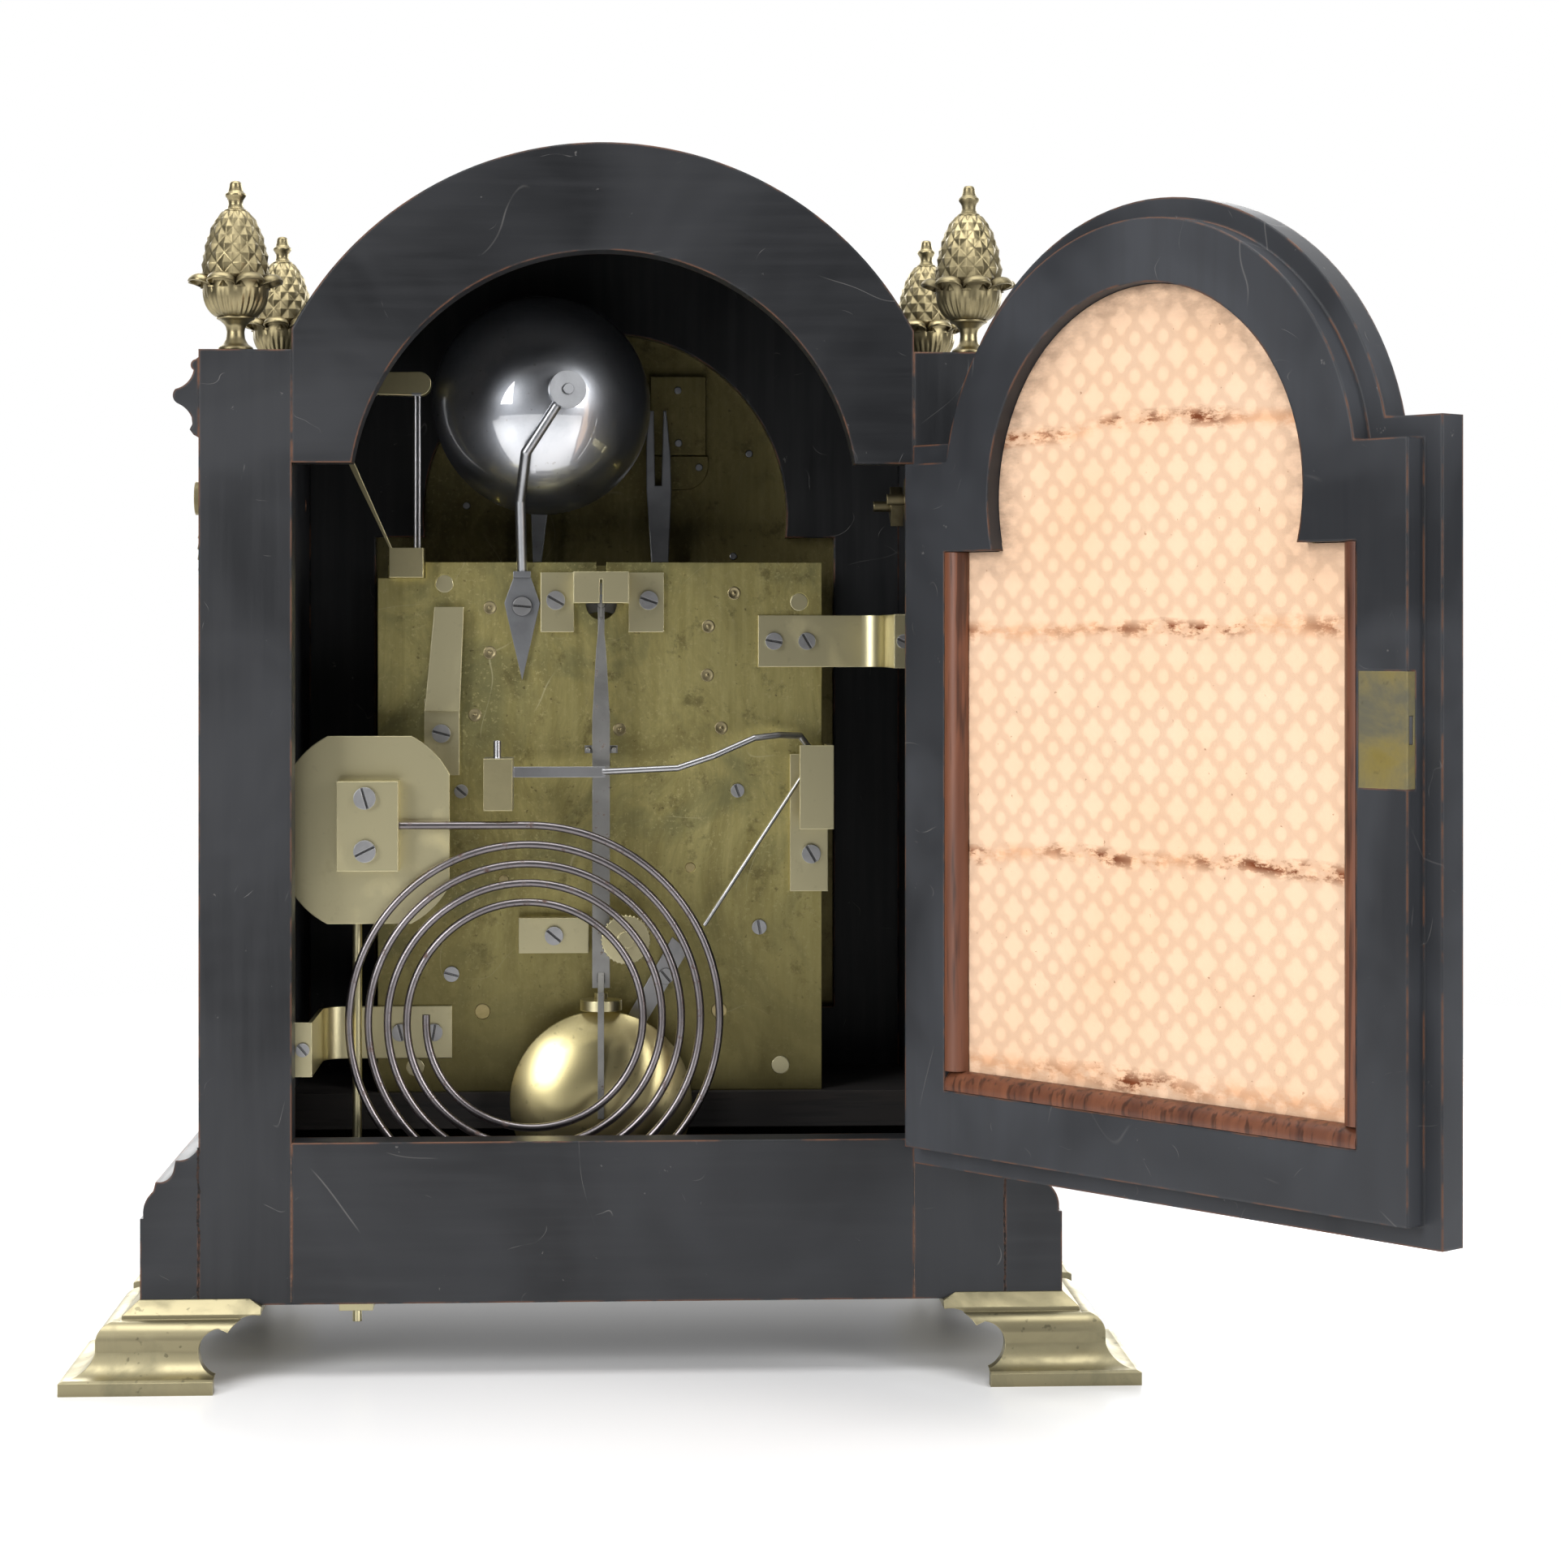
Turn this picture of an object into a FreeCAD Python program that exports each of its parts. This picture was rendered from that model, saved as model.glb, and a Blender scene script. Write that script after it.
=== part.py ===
import FreeCAD, Part
import math
import os
from FreeCAD import Vector

# A striking bracket clock, seen and drawn from behind: X to the right, Y towards the
# dial, Z up, origin on the table at the middle of the case. Millimetres.
# Depths are measured from the back face of the case, so Y = BACK + depth.

# ---- depths, from the back face of the case to the front ----------------------
PLATE_DEPTH = 70.0
PLATE_T = 3.0
PLATE_GAP = 56.0
DIAL_GAP = 22.0
DIAL_SET_BACK = 36.0
FRONT_PLATE_DEPTH = PLATE_DEPTH + PLATE_T + PLATE_GAP
DIAL_DEPTH = FRONT_PLATE_DEPTH + PLATE_T + DIAL_GAP
CASE_D = DIAL_DEPTH + DIAL_SET_BACK
# ---- case -----------------------------------------------------------------
CASE_W = 300.0
FOOT_H = 27.5
SHOULDER_Z = 381.8
ARCH_OVER = 15.05
ARCH_Z = 328.7
STILE_W = 34.25
FRAME_T = 14.0
FRONT_FRAME_T = 18.0
SIDE_T = 14.0
LINING_T = 13.5
ROOF_T = 9.0
ROOF_GAP = 0.5
ROOF_EDGE = 3.0
SHOULDER_T = 8.0
OPEN_BOTTOM = 87.4
OPEN_SPRING = 339.9
OPEN_R = 95.0
OPEN_Z = 324.4
FLOOR_TOP = 52.0
FLOOR_T = 12.0
CORNICE_Z = 349.0
CORNICE_H = 29.8
CORNICE_OUT = 9.0
BASE_OUT = 21.5
BASE_TOP = 86.1
# ---- feet -----------------------------------------------------------------
FOOT_FLARE = 26.0
FOOT_LIP = 2.5
FOOT_WALL = 5.0
FOOT_TOP_T = 3.0
BACK_WING = 45.0
SIDE_WING = 63.0
# ---- finials ----------------------------------------------------------------
FINIAL_IN = 12.7
FINIAL_DEPTH = 8.5
# ---- side handles -----------------------------------------------------------
HANDLE_Z = 324.0
HANDLE_SPREAD = 34.0
HANDLE_OUT = 5.2
BOSS_R = 6.5
BOSS_UP = 5.0
BOSS_LIP = 3.4
STUD_R = 2.2
STUD_OUT = 12.0
NUT_T = 5.0
BAIL_PIN_R = 1.5
BAIL_R = 2.6
BAIL_HALF = 22.0
BAIL_DROP = 15.0
# ---- rear door --------------------------------------------------------------
DOOR_GAP = 1.4
DOOR_T = 8.0
LIP = 7.4
LIP_T = 10.7
LIP_GAP = 0.3
DOOR_STILE = 23.5
GLAZE_BOTTOM = 113.5
GLAZE_SPRING = 303.0
GLAZE_R = 69.0
DOOR_OPEN_DEG = 129.0
HINGE_X = 119.6
HINGE_OUT = 8.0
HINGE_R = 2.6
WEB_HALF = 1.3
HINGE_PIN_R = 1.2
HINGE_PLAY = 0.05
HINGE_L = 36.0
HINGE_LOW_Z = 135.0
HINGE_HIGH_Z = 290.0
LEAF_T = 1.2
LEAF_W = 14.0
FRET_T = 1.0
SILK_T = 0.6
BEAD = 7.0
LOCK_Z = 245.5
LOCK_H = 37.4
LOCK_W = 19.5
LOCK_T = 4.0
BOLT_T = 2.0
BOLT_H = 9.0
BOLT_Y0 = 5.0
BOLT_TRAVEL = 3.0
# ---- front door -------------------------------------------------------------
FRONT_GAP = 1.1
FRONT_DOOR_T = 16.0
FRONT_STILE = 19.5
GLASS_T = 2.5
FRONT_GLAZE_R = 76.0
# ---- dial -------------------------------------------------------------------
DIAL_Z = 216.0
DIAL_HALF = 100.0
DIAL_T = 2.5
DIAL_ARCH_R = 80.0
DIAL_ARCH_Z = 326.0
SURROUND_T = 8.0
SURROUND_HALF = 95.2
SURROUND_SPRING = 316.6
SURROUND_R = 75.5
RING_R = 92.0
RING_IN_R = 64.0
RING_T = 1.5
# ---- movement ---------------------------------------------------------------
PLATE_LEFT = -88.9
PLATE_RIGHT = 85.5
PLATE_BOTTOM = 96.6
PLATE_TOP = 304.5
SEAT_T = 14.0
PILLAR_R = 5.5
PLAY = 0.05
NOTCH_W = 18.6
NOTCH_H = 6.2
ARBOR_R = 2.0
SQUARE_OUT = 2.8
CANNON_R = 2.8
STRIKE_ARBOR_R = 1.5
STRIKE_Z = 352.0
BARREL_ARBOR_R = 3.0
BARREL_R = 25.0
BARREL_L = 32.0
FUSEE_DEPTH = PLATE_DEPTH + 10.0
FUSEE_SMALL_R = 9.0
FUSEE_BIG_R = 21.0
GREAT_TEETH = 96
PINION_LEAVES = 8
WHEEL_T = 2.2
GOING_WHEEL_DEPTH = FRONT_PLATE_DEPTH - 9.0
STRIKE_WHEEL_DEPTH = FRONT_PLATE_DEPTH - 15.0
CENTRE_WHEEL_DEPTH = FRONT_PLATE_DEPTH - 5.0
GOING = (33.6, 184.3)
STRIKE = (-39.7, 179.7)
GOING_BARREL = (45.0, 128.0)
STRIKE_BARREL = (-48.0, 128.0)
PILLARS = ((-62.9, 296.0), (76.5, 288.9), (-74.3, 106.3), (69.2, 106.3))
STRAP_T = 1.5
STRAP_W = 20.4
STRAP_LEG_X = 111.0
STRAP_HIGH_Z = 263.3
STRAP_LOW_Z = 110.0
# ---- pendulum ---------------------------------------------------------------
PEND_X = -1.4
PEND_Z = 288.0
PEND_DEPTH = PLATE_DEPTH - 18.0
BOB_Z = 94.7
BOB_R = 35.3
BOB_T = 20.0
PEND_ROD_R = 1.2
ROD_FOOT_Z = 139.0
PALLET_ARBOR_R = 1.4
PALLET_DEPTH = PLATE_DEPTH + 10.0
CRUTCH_DEPTH = PLATE_DEPTH - 11.0
CRUTCH_L = 56.7
FORK_HALF = 5.0
COCK_DEPTH = PLATE_DEPTH - 21.0
COCK_HALF = 10.7
COCK_LEFT = -25.2
COCK_RIGHT = 23.2
COCK_FOOT_T = 2.5
HOLD_X0 = -33.6
HOLD_X1 = -6.2
HOLD_Z = 158.4
HOLD_DEPTH = PLATE_DEPTH - 8.0
HOLD_OFF = 9.6
HOLD_SHANK_R = 1.5
# ---- bell -------------------------------------------------------------------
BELL_X = -25.6
BELL_Z = 367.6
BELL_R = 43.8
BELL_DEPTH = PLATE_DEPTH + 24.0
BELL_WALL = 2.2
BELL_TURN = 13.6
BELL_TIP = 4.0
BELL_STUD_R = 2.0
BELL_FOOT_X = -32.4
HAMMER_DEPTH = PLATE_DEPTH + 6.0
# ---- gong hammer --------------------------------------------------------------
HAMMER_X = 82.2
HAMMER_Z = 228.0
HAMMER_PIN_R = 1.2
HUB_DEPTH = PLATE_DEPTH - 18.0
CHECK_SPRING_IN = 61.5
# ---- gong -------------------------------------------------------------------
GONG_X = -29.2
GONG_Z = 129.7
GONG_R = 73.9
GONG_PITCH = 7.3
GONG_QUARTERS = 19
GONG_WIRE_R = 1.5
GONG_DEPTH = 26.0
GONG_BLOCK_X0 = -100.9
GONG_BLOCK_X1 = -77.7
GONG_ROD_X = -94.2
GONG_ROD_DEPTH = 35.0
GONG_ROD_R = 1.8
GONG_PLATE_HALF = 30.4
GONG_PLATE_HIGH = 35.7

BACK = -CASE_D / 2
FRONT = CASE_D / 2
HALF = CASE_W / 2
OPEN_HALF = HALF - STILE_W
INNER = HALF - SIDE_T - LINING_T
ARCH_R = OPEN_HALF + ARCH_OVER
TOP_SIDE_Z = ARCH_Z + math.sqrt(ARCH_R ** 2 - OPEN_HALF ** 2)
UNDER_SHOULDER = SHOULDER_Z - SHOULDER_T


def at(depth):
    """The Y of a depth measured from the back face of the case."""
    return BACK + depth


def box(x0, x1, y0, y1, z0, z1):
    return Part.makeBox(x1 - x0, y1 - y0, z1 - z0, Vector(x0, y0, z0))


def rod(start, end, radius):
    a = Vector(*start)
    b = Vector(*end)
    return Part.makeCylinder(radius, (b - a).Length, a, b - a)


def disc(x, z, radius, y0, y1):
    """A round bar along Y."""
    return rod((x, y0, z), (x, y1, z), radius)


def closed_wire(path, place):
    """Two numbers are a corner; four are an arc's middle and its end."""
    here = place(*path[0])
    edges = []
    for step in path[1:] + [path[0]]:
        end = place(*step[-2:])
        if len(step) == 4:
            edges.append(Part.Arc(here, place(*step[:2]), end).toShape())
        elif (end - here).Length > 1e-6:
            edges.append(Part.makeLine(here, end))
        here = end
    return Part.Wire(edges)


def slab(path, y0, y1):
    """An outline in X and Z, carried from y0 to y1."""
    face = Part.Face(closed_wire(path, lambda x, z: Vector(x, y0, z)))
    return face.extrude(Vector(0, y1 - y0, 0))


def beam(path, x0, x1):
    """An outline in Y and Z, carried from x0 to x1."""
    face = Part.Face(closed_wire(path, lambda y, z: Vector(x0, y, z)))
    return face.extrude(Vector(x1 - x0, 0, 0))


def tile(path, z0, z1):
    """An outline in X and Y, carried from z0 to z1."""
    face = Part.Face(closed_wire(path, lambda x, y: Vector(x, y, z0)))
    return face.extrude(Vector(0, 0, z1 - z0))


def turned(profile, x, y, z):
    """A profile of radius and height, turned about an upright axis."""
    face = Part.Face(closed_wire(profile, lambda r, h: Vector(x + r, y, z + h)))
    return face.revolve(Vector(x, y, z), Vector(0, 0, 1), 360)


def mirrored(shape):
    return shape.mirror(Vector(0, 0, 0), Vector(1, 0, 0))


def arch_path(left, right, bottom, spring, radius, centre):
    """A doorway outline: upright sides, level shoulders and a round head."""
    foot = math.sqrt(radius ** 2 - (spring - centre) ** 2)
    return [(left, bottom), (right, bottom), (right, spring), (foot, spring),
            (0, centre + radius, -foot, spring), (left, spring)]


def save(name, *solids):
    shape = solids[0] if len(solids) == 1 else Part.makeCompound(list(solids))
    if len(shape.Solids) == 1:
        shape = shape.Solids[0]
    shape.exportStep("parts/" + name + ".step")


def arch_rail(y0, y1):
    """The round head of the case frame, with a level spandrel at each foot."""
    foot = math.sqrt(OPEN_R ** 2 - (OPEN_SPRING - OPEN_Z) ** 2)
    path = [(-OPEN_HALF, OPEN_SPRING), (-OPEN_HALF, TOP_SIDE_Z),
            (0, ARCH_Z + ARCH_R, OPEN_HALF, TOP_SIDE_Z), (OPEN_HALF, OPEN_SPRING),
            (foot, OPEN_SPRING), (0, OPEN_Z + OPEN_R, -foot, OPEN_SPRING)]
    return slab(path, y0, y1)


def rear_frame():
    y1 = at(FRAME_T)
    left = box(-HALF, -OPEN_HALF, BACK, y1, FOOT_H, SHOULDER_Z)
    keep = DOOR_GAP + BOLT_TRAVEL + 1.0
    keeper = box(-OPEN_HALF - keep, -OPEN_HALF + 1, at(BOLT_Y0 - 0.5), at(BOLT_Y0 + BOLT_T + 0.5),
                 LOCK_Z - BOLT_H / 2 - 0.5, LOCK_Z + BOLT_H / 2 + 0.5)
    save("rear_left_stile", left.cut(keeper))
    save("rear_right_stile", box(OPEN_HALF, HALF, BACK, y1, FOOT_H, SHOULDER_Z))
    save("rear_arch_rail", arch_rail(BACK, y1))
    save("rear_bottom_rail", box(-OPEN_HALF, OPEN_HALF, BACK, y1, FOOT_H, OPEN_BOTTOM))


def front_frame():
    y0 = FRONT - FRONT_FRAME_T
    left = box(-HALF, -OPEN_HALF, y0, FRONT, FOOT_H, SHOULDER_Z)
    save("front_stiles", left, mirrored(left))
    bottom = box(-OPEN_HALF, OPEN_HALF, y0, FRONT, FOOT_H, OPEN_BOTTOM)
    save("front_rails", arch_rail(y0, FRONT), bottom)


def sides():
    y0 = at(FRAME_T)
    y1 = FRONT - FRONT_FRAME_T
    left = box(-HALF, SIDE_T - HALF, y0, y1, FOOT_H, UNDER_SHOULDER)
    stud = handle_stud_holes()
    lining = box(SIDE_T - HALF, -INNER, y0, y1, FOOT_H, UNDER_SHOULDER)
    panel = left.cut(stud)
    lining = lining.cut(stud)
    save("left_side_panel", panel, lining)
    save("right_side_panel", mirrored(panel), mirrored(lining))
    shoulder = box(-HALF, -OPEN_HALF, y0, y1, UNDER_SHOULDER, SHOULDER_Z)
    inner_r = ARCH_R - ROOF_T
    foot = OPEN_HALF - ROOF_EDGE
    foot_z = ARCH_Z + math.sqrt(inner_r ** 2 - foot ** 2)
    roof = [(-OPEN_HALF, UNDER_SHOULDER), (-OPEN_HALF, TOP_SIDE_Z),
            (0, ARCH_Z + ARCH_R, OPEN_HALF, TOP_SIDE_Z), (OPEN_HALF, UNDER_SHOULDER),
            (foot, UNDER_SHOULDER), (foot, foot_z), (0, ARCH_Z + inner_r, -foot, foot_z),
            (-foot, UNDER_SHOULDER)]
    save("top_boards", slab(roof, y0, y1), shoulder, mirrored(shoulder))


def cornices():
    """The short moulding under each shoulder, cut off square at the back."""
    out = CORNICE_OUT
    z = CORNICE_Z
    h = CORNICE_H
    path = [(HALF, z), (HALF + 0.20 * out, z + 1), (HALF + 0.36 * out, z + 3),
            (HALF + 0.25 * out, z + 5), (HALF + 0.28 * out, z + 7.5),
            (HALF + 0.45 * out, z + 10, HALF + 0.82 * out, z + 12.5),
            (HALF + 1.05 * out, z + 15.5, HALF + 0.94 * out, z + 18),
            (HALF + 0.45 * out, z + 20.5, HALF + 0.20 * out, z + 25),
            (HALF + 0.32 * out, z + 27, HALF + 0.12 * out, z + h - 0.8), (HALF, z + h)]
    right = slab(path, BACK, FRONT)
    save("cornice_mouldings", mirrored(right), right)


def base_steps():
    """The base moulding as (outward, height) steps from the case face."""
    top = BASE_TOP
    out = BASE_OUT
    return [(0, top), (0.15 * out, top - 3.7, 0.39 * out, top - 4.8),
            (0.43 * out, top - 8.7), (0.53 * out, top - 11.9, 0.735 * out, top - 12.7),
            (0.775 * out, top - 16.2), (0.905 * out, top - 19.8, 0.945 * out, top - 25.5),
            (0.945 * out, top - 26.3), (out, top - 26.3), (out, FOOT_H), (0, FOOT_H)]


def shifted(path, flip, origin):
    """Steps of (outward, height) turned into places on one side of the case."""
    moved = []
    for step in path:
        row = list(step)
        for i in range(0, len(row), 2):
            row[i] = origin + flip * row[i]
        moved.append(tuple(row))
    return moved


def bases():
    far = BASE_OUT + 10
    side = slab(shifted(base_steps(), 1, HALF), BACK, FRONT + far)
    side_plan = [(HALF, BACK), (HALF + far, BACK), (HALF + far, FRONT + far), (HALF, FRONT)]
    side = side.common(tile(side_plan, 0, BASE_TOP + 10))
    front = beam(shifted(base_steps(), 1, FRONT), -HALF - far, HALF + far)
    front_plan = [(-HALF, FRONT), (HALF, FRONT), (HALF + far, FRONT + far),
                  (-HALF - far, FRONT + far)]
    front = front.common(tile(front_plan, 0, BASE_TOP + 10))
    save("base_mouldings", mirrored(side), side, front)


def foot_steps(inset, top):
    """A foot's outer (or inner) swell as (outward, height) steps from the base face."""
    i = inset
    return [(0.2 - i, top), (5.7 - i, min(25.2, top)), (5.9 - i, 23.6 - 0.4 * i),
            (11.9 - i, 22.3 - 0.6 * i, 14.3 - i, 17.5 - 0.4 * i), (14.3 - i, 13.5 - 0.2 * i),
            (16.8 - i, 8.6, 24.5 - i, 5.4), (FOOT_FLARE - i, 4.7), (FOOT_FLARE - i, 0)]


def foot_block(inset, top, length_x, length_y):
    """The two mitred faces of a foot, outside the corner at (0, 0)."""
    steps = foot_steps(inset, top)
    past = 1.5 * FOOT_FLARE
    a = slab(steps + [(-length_x, 0), (-length_x, top)], -past, length_y)
    turned_steps = shifted(steps, -1, 0)
    b = beam(turned_steps + [(length_y, 0), (length_y, top)], -length_x, past)
    return a.common(b)


def scallop(wing):
    """What is cut away from the end of a wing: two hollows with a cusp between."""
    far = wing + 60
    s = wing - 45.0
    return [(-far, -5), (-29.8 - s, -5), (-29.8 - s, 5.9),
            (-23.2 - s, 13.6, -30.5 - s, 21.4), (-33.8 - s, 20.0),
            (-37.5 - s, 23.6, -44.5 - s, 24.7), (-45.0 - s, 24.9), (-45.0 - s, 27.3),
            (-39.8 - s, 30.2), (-39.8 - s, 45), (-far, 45)]


def foot():
    """The right rear foot, its corner at (0, 0): cast brass, hollow inside."""
    shape = foot_block(0, FOOT_H + FOOT_LIP, BACK_WING + 5, SIDE_WING + 5)
    inside_top = FOOT_H - FOOT_TOP_T
    shape = shape.cut(foot_block(FOOT_WALL, inside_top, BACK_WING + 30, SIDE_WING + 30))
    shape = shape.cut(box(-100, 0.2, -0.2, 120, FOOT_H, 60))
    shape = shape.cut(slab(scallop(BACK_WING), -60, 120))
    side = shifted(scallop(SIDE_WING), -1, 0)
    return shape.cut(beam(side, -120, 60))


def feet():
    base = foot()
    corner_x = HALF + BASE_OUT
    rear = base.translated(Vector(corner_x, BACK, 0))
    front = base.mirror(Vector(0, 0, 0), Vector(0, 1, 0))
    front = front.translated(Vector(corner_x, FRONT + BASE_OUT, 0))
    save("rear_right_foot", rear)
    save("rear_left_foot", mirrored(rear))
    save("front_right_foot", front)
    save("front_left_foot", mirrored(front))


def finial_profile():
    """A pineapple: foot, stem, cup with a flared rim, cone and knob."""
    return [(0, 0), (6.6, 0), (6.6, 1.6), (4.6, 2.6), (3.3, 6.5), (3.6, 10), (7.2, 12.6),
            (12.0, 15.5, 15.2, 22.0), (18.3, 25.2), (17.6, 26.4), (12.6, 25.0),
            (12.4, 33.0, 9.6, 42.0), (7.0, 48.5, 3.4, 52.8), (2.5, 55.5), (4.1, 57.4),
            (4.1, 58.6), (2.0, 59.6), (2.6, 61.6, 1.2, 63.2), (0, 63.4)]


def finials():
    x = HALF - FINIAL_IN
    places = [(sx * x, sy) for sx in (-1, 1) for sy in (at(FINIAL_DEPTH), FRONT - FINIAL_DEPTH)]
    save("finials", *[turned(finial_profile(), x0, y0, SHOULDER_Z) for x0, y0 in places])


def boards():
    y1 = FRONT - FRONT_FRAME_T
    save("base_board", box(-INNER, INNER, at(FRAME_T), y1, FLOOR_TOP - FLOOR_T, FLOOR_TOP)
         .cut(rod((GONG_ROD_X, at(GONG_ROD_DEPTH), 0), (GONG_ROD_X, at(GONG_ROD_DEPTH), 90),
                  GONG_ROD_R)))
    seat_top = PLATE_BOTTOM
    save("seat_board", box(-INNER, INNER, at(PLATE_DEPTH - 4), at(DIAL_DEPTH - SURROUND_T),
                           seat_top - SEAT_T, seat_top))
    y0 = at(DIAL_DEPTH - SURROUND_T)
    y2 = at(DIAL_DEPTH)
    head_r = ARCH_R - ROOF_T - ROOF_GAP
    edge = OPEN_HALF - ROOF_EDGE - ROOF_GAP
    edge_z = ARCH_Z + math.sqrt(head_r ** 2 - edge ** 2)
    side_z = UNDER_SHOULDER - ROOF_GAP
    outer = slab([(-INNER, FLOOR_TOP), (INNER, FLOOR_TOP), (INNER, side_z), (edge, side_z),
                  (edge, edge_z), (0, ARCH_Z + head_r, -edge, edge_z), (-edge, side_z),
                  (-INNER, side_z)], y0, y2)
    opening = arch_path(-SURROUND_HALF, SURROUND_HALF, DIAL_Z - SURROUND_HALF,
                        SURROUND_SPRING, SURROUND_R, DIAL_ARCH_Z)
    save("dial_surround", outer.cut(slab(opening, y0 - 1, y2 + 1)))


def hinge(x, y, z, face, lean, web):
    """One butt hinge with its pin upright at (x, y): case side, then door side.

    face is the Y of the wood it is screwed to, lean is +1 when the case leaf lies
    to the right, web is the depth sign from the pin to that wood.
    """
    half = HINGE_L / 2
    part = HINGE_L / 6
    gap = 0.2
    y0, y1 = sorted((y, face))
    l0, l1 = sorted((face, face - web * LEAF_T))
    fixed = rod((x, y, z - half), (x, y, z + half), HINGE_PIN_R)
    for z0, z1 in ((z - half, z - part - gap), (z + part + gap, z + half)):
        fixed = fixed.fuse(rod((x, y, z0), (x, y, z1), HINGE_R))
        fixed = fixed.fuse(box(x - WEB_HALF, x + WEB_HALF, y0, y1, z0, z1))
    x0, x1 = sorted((x - lean * WEB_HALF, x + lean * LEAF_W))
    fixed = fixed.fuse(box(x0, x1, l0, l1, z - half, z - part - gap))
    fixed = fixed.fuse(box(x0, x1, l0, l1, z + part + gap, z + half))
    return fixed.removeSplitter()


def door_knuckle(x, y, z, outer_face, lean, web):
    """The door's middle knuckle and its leaf, lying on the door's outer face."""
    part = HINGE_L / 6
    f0, f1 = sorted((outer_face, outer_face - web * LEAF_T))
    x0, x1 = sorted((x, x - lean * LEAF_W))
    w0, w1 = sorted((y, f0 if abs(f0 - y) < abs(f1 - y) else f1))
    shape = rod((x, y, z - part), (x, y, z + part), HINGE_R)
    shape = shape.fuse(box(x0, x1, f0, f1, z - part, z + part))
    shape = shape.fuse(box(x - WEB_HALF, x + WEB_HALF, w0, w1, z - part, z + part))
    hole = rod((x, y, z - part - 1), (x, y, z + part + 1), HINGE_PIN_R + HINGE_PLAY)
    return shape.cut(hole).removeSplitter()


REAR_PIN_Y = BACK - HINGE_OUT
FRONT_PIN_X = -OPEN_HALF + 0.45
FRONT_PIN_Y = FRONT + HINGE_R
HINGE_HEIGHTS = (HINGE_LOW_Z, HINGE_HIGH_Z)


def hinges():
    rear = [hinge(HINGE_X, REAR_PIN_Y, z, BACK, 1, 1) for z in HINGE_HEIGHTS]
    front = [hinge(FRONT_PIN_X, FRONT_PIN_Y, z, FRONT, -1, -1) for z in HINGE_HEIGHTS]
    save("door_hinges", *rear, *front)


def opened(shape):
    """The rear door is drawn shut and then swung to where it stands open."""
    shape = shape.copy()
    shape.rotate(Vector(HINGE_X, REAR_PIN_Y, 0), Vector(0, 0, 1), DOOR_OPEN_DEG)
    return shape


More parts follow.
